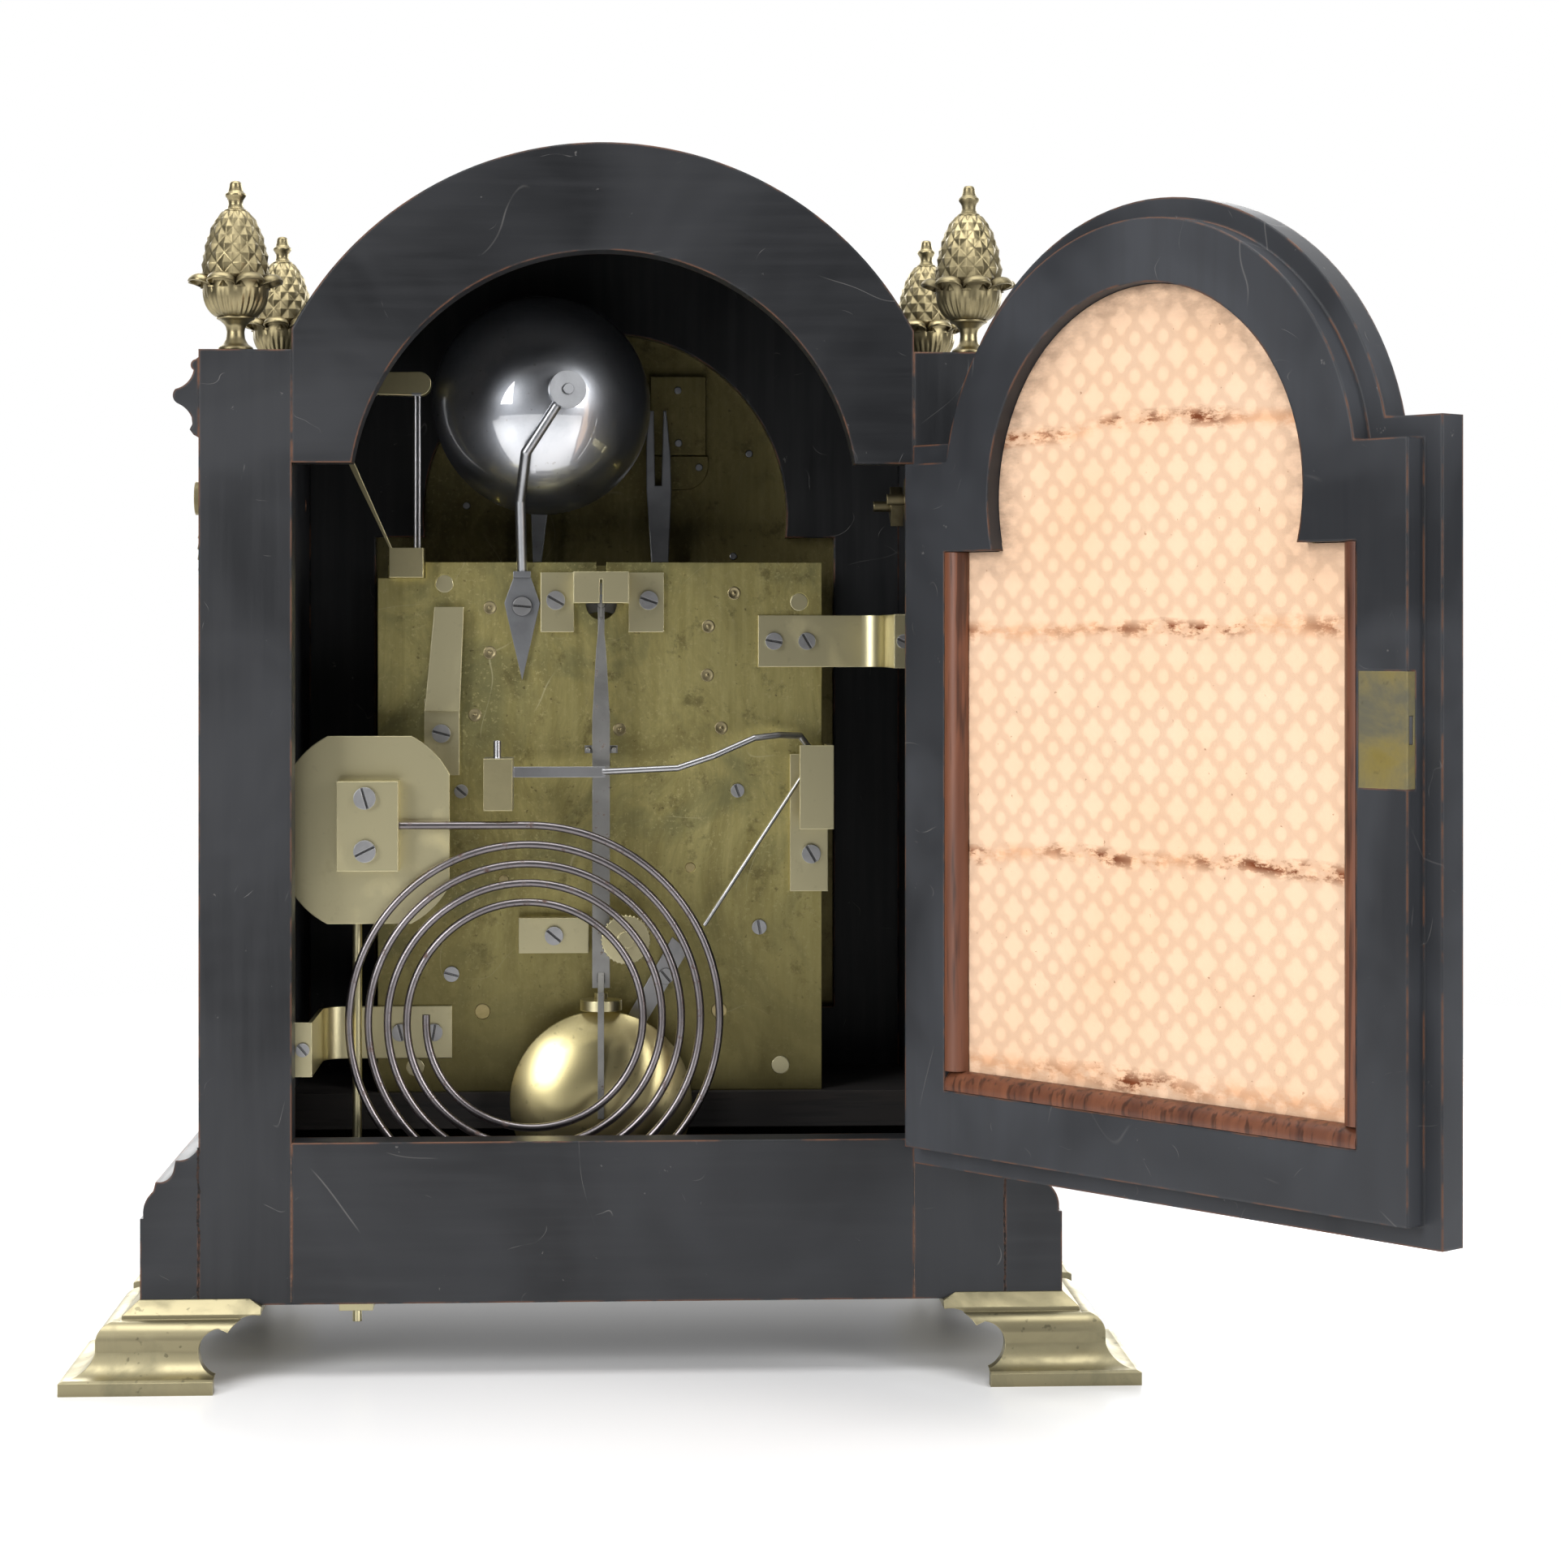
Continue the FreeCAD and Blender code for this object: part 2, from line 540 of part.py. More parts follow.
def rear_door():
    half = OPEN_HALF - DOOR_GAP
    head = OPEN_R - DOOR_GAP + 0.4
    low = OPEN_BOTTOM + 0.5
    spring = OPEN_SPRING - DOOR_GAP
    body = slab(arch_path(-half, half, low, spring, head, OPEN_Z), BACK - LIP_GAP, at(DOOR_T))
    lip_path = arch_path(-half - LIP, HINGE_X - 1.1, low - LIP, spring + LIP, head + LIP, OPEN_Z)
    lip = slab(lip_path, BACK - LIP_GAP - LIP_T, BACK - LIP_GAP)
    for z in HINGE_HEIGHTS:
        z0 = z - HINGE_L / 2 - 0.5
        lip = lip.cut(box(HINGE_X - 3.6, HINGE_X + 5, BACK - 30, at(0), z0, z0 + HINGE_L + 1))
    glaze_half = half - DOOR_STILE
    glaze = arch_path(-glaze_half, glaze_half, GLAZE_BOTTOM, GLAZE_SPRING, GLAZE_R, OPEN_Z)
    frame = body.fuse(lip).cut(slab(glaze, BACK - 40, at(40)))
    y_fret = at(1.0)
    rebate_path = arch_path(-glaze_half - 3, glaze_half + 3, GLAZE_BOTTOM - 3, GLAZE_SPRING + 3,
                            GLAZE_R + 3, OPEN_Z)
    rebate = slab(rebate_path, y_fret, at(40))
    frame = frame.cut(rebate)
    edge = half - LOCK_W
    lock_box = box(-half - 1, -edge, at(DOOR_T - LOCK_T), at(DOOR_T + 1), LOCK_Z - LOCK_H / 2,
                   LOCK_Z + LOCK_H / 2)
    frame = frame.cut(lock_box)
    save("rear_door_frame", opened(frame.removeSplitter()))

    inset = arch_path(-glaze_half - 2.8, glaze_half + 2.8, GLAZE_BOTTOM - 2.8,
                      GLAZE_SPRING + 2.8, GLAZE_R + 2.8, OPEN_Z)
    save("rear_door_fret", opened(slab(inset, y_fret, y_fret + FRET_T)))
    y_silk = y_fret + FRET_T
    save("rear_door_silk", opened(slab(inset, y_silk, y_silk + SILK_T)))
    y_bead = y_silk + SILK_T
    rim = glaze_half + 2.8
    low_z = GLAZE_BOTTOM - 2.8
    bar = [(-rim, y_bead), (-rim + BEAD, y_bead), (-rim + 0.75 * BEAD, at(DOOR_T - 1.2),
                                                   -rim, at(DOOR_T))]
    left = tile(bar, low_z + BEAD, GLAZE_SPRING + 2.8)
    right = mirrored(left)
    foot_bar = [(y_bead, low_z), (at(DOOR_T), low_z),
                (at(DOOR_T - 1.2), low_z + 0.75 * BEAD, y_bead, low_z + BEAD)]
    bottom = beam(foot_bar, -rim, rim)
    save("rear_door_beads", opened(left), opened(right), opened(bottom))

    plate = box(-half, -edge, at(DOOR_T - LOCK_T), at(DOOR_T), LOCK_Z - LOCK_H / 2,
                LOCK_Z + LOCK_H / 2)
    slot = box(-half - 1, -edge - 4, at(BOLT_Y0) - 0.05, at(BOLT_Y0 + BOLT_T) + 0.05,
               LOCK_Z - BOLT_H / 2 - 0.05, LOCK_Z + BOLT_H / 2 + 0.05)
    leaves = [door_knuckle(HINGE_X, REAR_PIN_Y, z, BACK - LIP_GAP - LIP_T, 1, 1)
              for z in HINGE_HEIGHTS]
    save("rear_door_fittings", opened(plate.cut(slot)), *[opened(leaf) for leaf in leaves])
    bolt = box(-half + 0.2, -edge - 4 - BOLT_TRAVEL - 0.3, at(BOLT_Y0), at(BOLT_Y0 + BOLT_T),
               LOCK_Z - BOLT_H / 2, LOCK_Z + BOLT_H / 2)
    save("rear_lock_bolt", opened(bolt))


def front_door():
    half = OPEN_HALF - FRONT_GAP
    head = OPEN_R - FRONT_GAP
    low = OPEN_BOTTOM + FRONT_GAP
    y1 = FRONT
    y0 = y1 - FRONT_DOOR_T
    frame = slab(arch_path(-half, half, low, OPEN_SPRING - FRONT_GAP, head, OPEN_Z), y0, y1)
    inner = half - FRONT_STILE
    spring = OPEN_SPRING - FRONT_GAP - FRONT_STILE
    glaze = arch_path(-inner, inner, low + FRONT_STILE + 4, spring, FRONT_GLAZE_R, OPEN_Z)
    frame = frame.cut(slab(glaze, y0 - 1, y1 + 1))
    lap = 3.0
    rebate = arch_path(-inner - lap, inner + lap, low + FRONT_STILE + 4 - lap, spring + lap,
                       FRONT_GLAZE_R + lap, OPEN_Z)
    frame = frame.cut(slab(rebate, y0 - 1, y0 + 1.5 + GLASS_T))
    save("front_door_frame", frame)
    pane = arch_path(-inner - lap, inner + lap, low + FRONT_STILE + 4 - lap, spring + lap,
                     FRONT_GLAZE_R + lap, OPEN_Z)
    save("front_door_glass", slab(pane, y0 + 1.5, y0 + 1.5 + GLASS_T))
    leaves = [door_knuckle(FRONT_PIN_X, FRONT_PIN_Y, z, FRONT, -1, -1) for z in HINGE_HEIGHTS]
    save("front_door_hinges", *leaves)


def handle_stud_holes():
    """The holes through the left side for the four studs of its handle bosses."""
    z = HANDLE_Z + BOSS_UP
    holes = [rod((-HALF - 1, at(CASE_D / 2) + s * HANDLE_SPREAD, z),
                 (-INNER + 1, at(CASE_D / 2) + s * HANDLE_SPREAD, z), STUD_R)
             for s in (-1, 1)]
    return holes[0].fuse(holes[1])


def handles():
    """Two turned bosses a side on studs; only the right side's nuts stand out inside."""
    x_pin = -HALF - HANDLE_OUT
    z = HANDLE_Z + BOSS_UP
    left, right = [], []
    for s in (-1, 1):
        y = at(CASE_D / 2) + s * HANDLE_SPREAD
        boss = rod((x_pin - BOSS_LIP, y, z), (-HALF, y, z), BOSS_R)
        boss = boss.fuse(box(-HALF - 1.6, -HALF, y - 8, y + 8, z - 8.5, z + 8.5))
        inner_y = y - s * (BOSS_R + 0.5)
        hole = rod((x_pin, inner_y, HANDLE_Z), (x_pin, y, HANDLE_Z), BAIL_PIN_R + PLAY)
        boss = boss.cut(hole)
        left.append(boss.fuse(rod((-HALF, y, z), (-INNER - 0.5, y, z), STUD_R)))
        end = -INNER + STUD_OUT
        long_stud = boss.fuse(rod((-HALF, y, z), (end, y, z), STUD_R))
        nut = box(-INNER, -INNER + NUT_T, y - 6, y + 6, z - 6, z + 6)
        nut.rotate(Vector(0, y, z), Vector(1, 0, 0), 30)
        nut = nut.cut(rod((-INNER - 1, y, z), (end, y, z), STUD_R))
        right += [mirrored(long_stud), mirrored(nut)]
    save("handle_fittings", *left, *right)
    left_bail = bail(x_pin)
    save("left_handle", left_bail)
    save("right_handle", mirrored(left_bail))


def bail(x):
    """A drop handle: a bent bar, thicker in the middle, on two pins along Y."""
    mid = at(CASE_D / 2)
    z = HANDLE_Z
    reach = HANDLE_SPREAD - 0.3 * BOSS_R
    top = HANDLE_SPREAD - BOSS_R - 0.4
    bend = top - BAIL_HALF
    low = z - bend - BAIL_DROP

    def v(y, h):
        return Vector(x, mid + y, h)

    q = bend * (1 - math.sqrt(0.5))
    edges = [Part.Arc(v(top, z), v(BAIL_HALF + q, z - q), v(BAIL_HALF, z - bend)).toShape(),
             Part.makeLine(v(BAIL_HALF, z - bend), v(BAIL_HALF, low)),
             Part.Arc(v(BAIL_HALF, low), v(0, low - BAIL_HALF), v(-BAIL_HALF, low)).toShape(),
             Part.makeLine(v(-BAIL_HALF, low), v(-BAIL_HALF, z - bend)),
             Part.Arc(v(-BAIL_HALF, z - bend), v(-BAIL_HALF - q, z - q), v(-top, z)).toShape()]
    section = Part.Wire(Part.Circle(v(top, z), Vector(0, 1, 0), BAIL_R).toShape())
    shape = Part.Wire(edges).makePipeShell([section], True, False)
    for s in (-1, 1):
        shape = shape.fuse(rod((x, mid + s * (top - 0.5), z), (x, mid + s * reach, z), BAIL_PIN_R))
    roll_z = low - BAIL_HALF
    shape = shape.fuse(rod((x, mid - 9, roll_z), (x, mid + 9, roll_z), BAIL_R + 1.3))
    return shape


def dial():
    y0 = at(DIAL_DEPTH)
    y1 = y0 + DIAL_T
    low = DIAL_Z - DIAL_HALF
    path = arch_path(-DIAL_HALF, DIAL_HALF, low, SURROUND_SPRING + 3, DIAL_ARCH_R, DIAL_ARCH_Z)
    plate = slab(path, y0, y1).cut(disc(0, DIAL_Z, CANNON_R + 1.2, y0 - 1, y1 + 1))
    for x, z in (GOING, STRIKE):
        plate = plate.cut(disc(x, z, ARBOR_R + 1.2, y0 - 1, y1 + 1))
    plate = plate.cut(disc(0, STRIKE_Z, STRIKE_ARBOR_R + 0.05, y0 - 1, y1 + 1))
    front_plate_y = at(FRONT_PLATE_DEPTH + PLATE_T)
    feet_at = [(sx * 70, DIAL_Z + sz * 70) for sx in (-1, 1) for sz in (-1, 1)]
    for x, z in feet_at:
        plate = plate.fuse(disc(x, z, 3.0, front_plate_y, y0))
    save("dial_plate", plate)
    ring = disc(0, DIAL_Z, RING_R, y1, y1 + RING_T)
    ring = ring.cut(disc(0, DIAL_Z, RING_IN_R, y1 - 1, y1 + RING_T + 1))
    small = disc(0, STRIKE_Z, 24, y1, y1 + RING_T).cut(disc(0, STRIKE_Z, 13, y1 - 1, y1 + 5))
    save("chapter_ring", ring, small)
    face = y1 + RING_T
    hour = hand(0, DIAL_Z, 58, 6.5, face + 2.0, 1.2, CANNON_R + 0.05, 8.5)
    save("hour_hand", hour.fuse(pipe_y(0, DIAL_Z, CANNON_R + 0.05, CANNON_R + 1.0,
                                       front_plate_y + 1, face + 3.2)))
    minute = hand(0, DIAL_Z, 84, 5.0, face + 5.2, 1.2, ARBOR_R + 0.05, 6.5)
    minute = minute.fuse(pipe_y(0, DIAL_Z, ARBOR_R + 0.05, CANNON_R, front_plate_y + 1,
                                face + 6.4))
    save("minute_hand", minute)
    strike = hand(0, STRIKE_Z, 19, 3.0, face + 1.0, 1.0, 0, 3.6)
    save("strike_hand", strike.fuse(disc(0, STRIKE_Z, STRIKE_ARBOR_R, y0 - 4, face + 1.5)))


def pipe_y(x, z, r_in, r_out, y0, y1):
    return disc(x, z, r_out, y0, y1).cut(disc(x, z, r_in, y0 - 1, y1 + 1))


def hand(x, z, length, swell, y0, thick, hole, hub):
    """A pierced-looking steel hand: a hub, a slim shank, a swell and a point."""
    s = swell
    path = [(x - 1.4, z), (x - 1.4, z + 0.5 * length), (x - s, z + 0.62 * length),
            (x - 1.0, z + 0.78 * length), (x - 0.5, z + length), (x + 0.5, z + length),
            (x + 1.0, z + 0.78 * length), (x + s, z + 0.62 * length),
            (x + 1.4, z + 0.5 * length), (x + 1.4, z)]
    shape = slab(path, y0, y0 + thick).fuse(disc(x, z, hub, y0, y0 + thick))
    if hole:
        shape = shape.cut(disc(x, z, hole, y0 - 1, y0 + thick + 1))
    return shape.removeSplitter()


def plates():
    """Back and front plates, pierced for pillars, arbors and the pendulum cock."""
    y0 = at(PLATE_DEPTH)
    y1 = y0 + PLATE_T
    y2 = y1 + PLATE_GAP
    back = box(PLATE_LEFT, PLATE_RIGHT, y0, y1, PLATE_BOTTOM, PLATE_TOP)
    front = box(PLATE_LEFT, PLATE_RIGHT, y2, y2 + PLATE_T, PLATE_BOTTOM, PLATE_TOP)
    notch_x = PLATE_LEFT + NOTCH_W
    back = back.cut(box(PLATE_LEFT - 1, notch_x, y0 - 1, y1 + 1, PLATE_TOP - NOTCH_H, PLATE_TOP + 1))
    back = back.cut(box(PEND_X - 2.0, PEND_X + 2.0, y0 - 1, y1 + 1, PEND_Z, PLATE_TOP + 1))
    back = back.cut(disc(PEND_X, PEND_Z, 6.0, y0 - 1, y1 + 1))
    holes = [(x, z, PILLAR_R - 2) for x, z in PILLARS]
    holes += [(x, z, ARBOR_R + PLAY) for x, z in (GOING, STRIKE, (0, DIAL_Z))]
    holes += [(x, z, BARREL_ARBOR_R + PLAY) for x, z in (GOING_BARREL, STRIKE_BARREL)]
    for x, z, r in holes:
        cutter = disc(x, z, r, y0 - 1, y2 + PLATE_T + 1)
        back = back.cut(cutter)
        front = front.cut(cutter)
    front = front.cut(disc(PEND_X, PEND_Z, PALLET_ARBOR_R + PLAY, y2 - 1, y2 + PLATE_T + 1))
    save("back_plate", back)
    save("front_plate", front)
    pillars = []
    for x, z in PILLARS:
        pillar = disc(x, z, PILLAR_R, y1, y2).fuse(disc(x, z, PILLAR_R - 2, y0, y2 + PLATE_T))
        for y in (y1, y2 - 4):
            pillar = pillar.fuse(disc(x, z, PILLAR_R + 1.5, y + 1, y + 3))
        pillars.append(pillar)
    save("pillars", *pillars)


def toothed(x, z, teeth, module, y0, y1):
    """A clock wheel or pinion with straight-sided teeth, its axis along Y."""
    pitch_r = teeth * module / 2
    outer = pitch_r + 0.7 * module
    root = pitch_r - 1.1 * module
    points = []
    for i in range(teeth):
        mid = 2 * math.pi * (i + 0.5) / teeth
        step = 2 * math.pi / teeth
        for r, share in ((root, -0.20), (outer, -0.10), (outer, 0.10), (root, 0.20)):
            a = mid + share * step
            points.append((x + r * math.cos(a), z + r * math.sin(a)))
    return slab(points, y0, y1)


def fusee(x, z, wheel_depth, module):
    """A grooved cone on its arbor, fixed to a great wheel."""
    y_wheel = at(wheel_depth)
    cone_y0 = at(FUSEE_DEPTH)
    cone_y1 = y_wheel - 1
    face = closed_wire([(x, cone_y0), (x + FUSEE_SMALL_R, cone_y0),
                        (x + 0.66 * FUSEE_BIG_R, cone_y0 + 0.5 * (cone_y1 - cone_y0),
                         x + FUSEE_BIG_R, cone_y1), (x, cone_y1)],
                       lambda a, b: Vector(a, b, z))
    cone = Part.Face(face).revolve(Vector(x, 0, z), Vector(0, 1, 0), 360)
    shape = cone.fuse(disc(x, z, FUSEE_SMALL_R + 3, cone_y0 - 2, cone_y0))
    shape = shape.fuse(disc(x, z, 6, cone_y1, y_wheel))
    shape = shape.fuse(toothed(x, z, GREAT_TEETH, module, y_wheel, y_wheel + WHEEL_T))
    shape = shape.fuse(disc(x, z, ARBOR_R, at(PLATE_DEPTH + 0.4), at(DIAL_DEPTH) + DIAL_T + SQUARE_OUT))
    return shape.removeSplitter()


def barrel(x, z):
    y0 = at(FUSEE_DEPTH)
    shape = disc(x, z, BARREL_R, y0, y0 + BARREL_L)
    shape = shape.fuse(disc(x, z, BARREL_R + 1.5, y0, y0 + 2))
    shape = shape.fuse(disc(x, z, BARREL_R + 1.5, y0 + BARREL_L - 2, y0 + BARREL_L))
    plate_end = at(FRONT_PLATE_DEPTH + PLATE_T)
    return shape.fuse(disc(x, z, BARREL_ARBOR_R, at(PLATE_DEPTH + 0.4), plate_end - 0.4))


def train():
    centre = (0, DIAL_Z)
    module = 2 * math.dist(GOING, centre) / (GREAT_TEETH + PINION_LEAVES)
    save("going_fusee", fusee(GOING[0], GOING[1], GOING_WHEEL_DEPTH, module))
    strike_module = 0.9 * module
    save("strike_fusee", fusee(STRIKE[0], STRIKE[1], STRIKE_WHEEL_DEPTH, strike_module))
    save("going_barrel", barrel(*GOING_BARREL))
    save("strike_barrel", barrel(*STRIKE_BARREL))
    pinion = toothed(0, DIAL_Z, PINION_LEAVES, module, at(GOING_WHEEL_DEPTH - 1),
                     at(GOING_WHEEL_DEPTH) + WHEEL_T + 1)
    mesh = math.atan2(GOING[1] - DIAL_Z, GOING[0])
    pinion.rotate(Vector(0, 0, DIAL_Z), Vector(0, 1, 0), mesh_turn(mesh))
    wheel = toothed(0, DIAL_Z, 64, 0.9, at(CENTRE_WHEEL_DEPTH), at(CENTRE_WHEEL_DEPTH) + WHEEL_T)
    for i in range(4):
        a = math.pi / 4 + i * math.pi / 2
        wheel = wheel.cut(disc(16 * math.cos(a), DIAL_Z + 16 * math.sin(a), 8,
                               at(CENTRE_WHEEL_DEPTH - 1), at(CENTRE_WHEEL_DEPTH + 5)))
    face = at(DIAL_DEPTH) + DIAL_T + RING_T
    arbor = disc(0, DIAL_Z, ARBOR_R, at(PLATE_DEPTH + 0.4), face + 8.5)
    collet = disc(0, DIAL_Z, 4.0, face + 6.4, face + 8.0)
    save("centre_wheel", arbor.fuse(pinion).fuse(wheel).fuse(collet).removeSplitter())


def mesh_turn(angle):
    """Degrees that bring a pinion's gap to face the great wheel's nearest tooth."""
    wheel_step = 360 / GREAT_TEETH
    leaf_step = 360 / PINION_LEAVES
    to_pinion = math.degrees(angle) + 180
    tooth_off = ((to_pinion / wheel_step - 0.5) % 1) * wheel_step
    gap_off = (math.degrees(angle) / leaf_step) % 1 * leaf_step
    pitch_slip = tooth_off * GREAT_TEETH / PINION_LEAVES
    return -(gap_off + pitch_slip)


def pendulum():
    x = PEND_X
    y = at(PEND_DEPTH)
    z = PEND_Z
    rod_top = z - 5
    blade = [(x - 0.6, rod_top), (x + 0.6, rod_top), (x + 1.9, z - 17.6), (x + 3.4, z - 44),
             (x + 3.4, ROD_FOOT_Z), (x - 3.4, ROD_FOOT_Z), (x - 3.4, z - 44), (x - 1.9, z - 17.6)]
    shape = slab(blade, y - 1, y + 1)
    shape = shape.fuse(box(x - 0.15, x + 0.15, y - 3, y + 3, rod_top - 1, z + 8))
    shape = shape.fuse(rod((x, y, ROD_FOOT_Z + 1), (x, y, BOB_Z - BOB_R + 12), PEND_ROD_R))
    front = y - BOB_T / 2
    spear = [(y - 1, ROD_FOOT_Z + 6), (y - 1, ROD_FOOT_Z + 2), (front + 0.6, ROD_FOOT_Z - 2),
             (front - 0.4, BOB_Z + 17), (front - 0.8, BOB_Z - 5), (front - 1.8, BOB_Z - 5),
             (front - 1.4, BOB_Z + 17), (front - 0.6, ROD_FOOT_Z - 0.8)]
    shape = shape.fuse(beam(spear, x - 1.2, x + 1.2))
    save("pendulum_rod", shape.removeSplitter())
    half = BOB_T / 2
    lens = closed_wire([(0, -half), (0.72 * BOB_R, -0.66 * half, BOB_R, -0.8),
                        (BOB_R, 0.8), (0.72 * BOB_R, 0.66 * half, 0, half)],
                       lambda r, d: Vector(x + r, y + d, BOB_Z))
    bob = Part.Face(lens).revolve(Vector(x, 0, BOB_Z), Vector(0, 1, 0), 360)
    bob = bob.cut(rod((x, y, 0), (x, y, BOB_Z + BOB_R + 5), PEND_ROD_R))
    save("pendulum_bob", bob)
    top = BOB_Z + BOB_R + 0.4
    nut = rod((x, y, top), (x, y, top + 6.6), 2.5).fuse(rod((x, y, top), (x, y, top + 4), 8.1))
    nut = nut.cut(rod((x, y, top - 1), (x, y, top + 9), PEND_ROD_R + PLAY))
    save("rating_nut", nut)


def crutch():
    """The pallets on their arbor and the crutch that hangs behind the pendulum rod."""
    x = PEND_X
    z = PEND_Z
    y_end = at(FRONT_PLATE_DEPTH + PLATE_T - 0.4)
    shape = disc(x, z, PALLET_ARBOR_R, at(CRUTCH_DEPTH - 1.0), y_end)
    foot_z = z - CRUTCH_L
    y0 = at(CRUTCH_DEPTH)
    shape = shape.fuse(box(x - 1.3, x + 1.3, y0, y0 + 1.6, foot_z, z))
    shape = shape.fuse(box(x - FORK_HALF - 1.4, x + FORK_HALF + 1.4, y0, y0 + 1.6, foot_z - 1.5,
                           foot_z + 1.5))
    for s in (-1, 1):
        shape = shape.fuse(disc(x + s * FORK_HALF, foot_z, 0.9, at(PEND_DEPTH) - 4, y0 + 0.5))
    anchor = [(x - 3, z + 4), (x + 3, z + 4), (x + 14, z - 4), (x + 16, z - 14),
              (x + 13, z - 13), (x + 9, z - 5), (x + 2, z - 3), (x - 2, z - 3), (x - 9, z - 5),
              (x - 13, z - 13), (x - 16, z - 14), (x - 14, z - 4)]
    shape = shape.fuse(slab(anchor, at(PALLET_DEPTH), at(PALLET_DEPTH) + 3))
    save("crutch_and_pallets", shape.removeSplitter())


def cocks():
    """The pendulum cock: two feet, two cheeks and a bridge with the slotted chops."""
    x = PEND_X
    y0 = at(PLATE_DEPTH - COCK_FOOT_T)
    y1 = at(PLATE_DEPTH)
    top = PLATE_TOP - 4
    low = PEND_Z + 0.3
    shape = box(COCK_LEFT, x - COCK_HALF, y0, y1, top - 23.5, top)
    shape = shape.fuse(box(x + COCK_HALF, COCK_RIGHT, y0, y1, top - 23.5, top))
    for s in (-1, 1):
        a, b = sorted((x + s * COCK_HALF, x + s * (COCK_HALF - 2.2)))
        shape = shape.fuse(box(a, b, at(COCK_DEPTH), y1, low, top))
    bridge = box(x - COCK_HALF, x + COCK_HALF, at(COCK_DEPTH), at(CRUTCH_DEPTH - 1.5), low, top)
    shape = shape.fuse(bridge)
    slot = box(x - 0.55, x + 0.55, at(COCK_DEPTH) - 1, at(CRUTCH_DEPTH), low - 1, top - 3)
    pendulum_cock = shape.removeSplitter().cut(slot)
    hold = box(HOLD_X0, HOLD_X1, at(HOLD_DEPTH), y1, HOLD_Z - 6.9, HOLD_Z + 6.9)
    save("back_plate_cocks", pendulum_cock, hold, gong_hammer_cock(), detent_cock())
    knob_x = x + HOLD_OFF
    y_knob = at(PEND_DEPTH) - 6
    knob = disc(knob_x, HOLD_Z, 9.2, y_knob - 4, y_knob)
    for i in range(36):
        a = 2 * math.pi * i / 36
        knob = knob.fuse(disc(knob_x + 9.1 * math.cos(a), HOLD_Z + 9.1 * math.sin(a), 0.5,
                              y_knob - 3.6, y_knob - 0.4))
    knob = knob.fuse(disc(knob_x, HOLD_Z, 3.2, y_knob - 5.5, y_knob))
    knob = knob.fuse(disc(knob_x, HOLD_Z, HOLD_SHANK_R, y_knob, y1))
    save("holdfast_screw", knob)


def gong():
    """A wire spiral of tangent quarter turns, with a straight tail into its block."""
    y = at(GONG_DEPTH)

    def v(x, z):
        return Vector(x, y, z)

    start = (GONG_BLOCK_X1, GONG_Z + GONG_R)
    here = (GONG_X, GONG_Z + GONG_R)
    edges = [Part.makeLine(v(*start), v(*here))]
    samples = [start]
    heading = 0.0
    radius = GONG_R - GONG_PITCH / 8
    for _ in range(GONG_QUARTERS):
        cx = here[0] + radius * math.sin(heading)
        cz = here[1] - radius * math.cos(heading)
        spots = []
        for share in (0.5, 1.0):
            a = heading + math.pi / 2 - share * math.pi / 2
            spots.append((cx + radius * math.cos(a), cz + radius * math.sin(a)))
        for i in range(1, 25):
            a = heading + math.pi / 2 - i / 24 * math.pi / 2
            samples.append((cx + radius * math.cos(a), cz + radius * math.sin(a)))
        edges.append(Part.Arc(v(*here), v(*spots[0]), v(*spots[1])).toShape())
        here = spots[1]
        heading -= math.pi / 2
        radius -= GONG_PITCH / 4
    last = (here[0] + 2 * GONG_WIRE_R * math.cos(heading),
            here[1] + 2 * GONG_WIRE_R * math.sin(heading))
    edges.append(Part.makeLine(v(*here), v(*last)))
    section = Part.Wire(Part.Circle(v(*start), Vector(1, 0, 0), GONG_WIRE_R).toShape())
    wire = Part.Wire(edges)
    tube = wire.makePipeShell([section], True, False)
    least = min(math.dist(p, q) for i, p in enumerate(samples) for q in samples[i + 40:])
    print("gong: least gap to itself %.2f mm, volume share %.4f"
          % (least - 2 * GONG_WIRE_R,
             tube.Volume / (math.pi * GONG_WIRE_R ** 2 * wire.Length)))
    save("gong", tube)


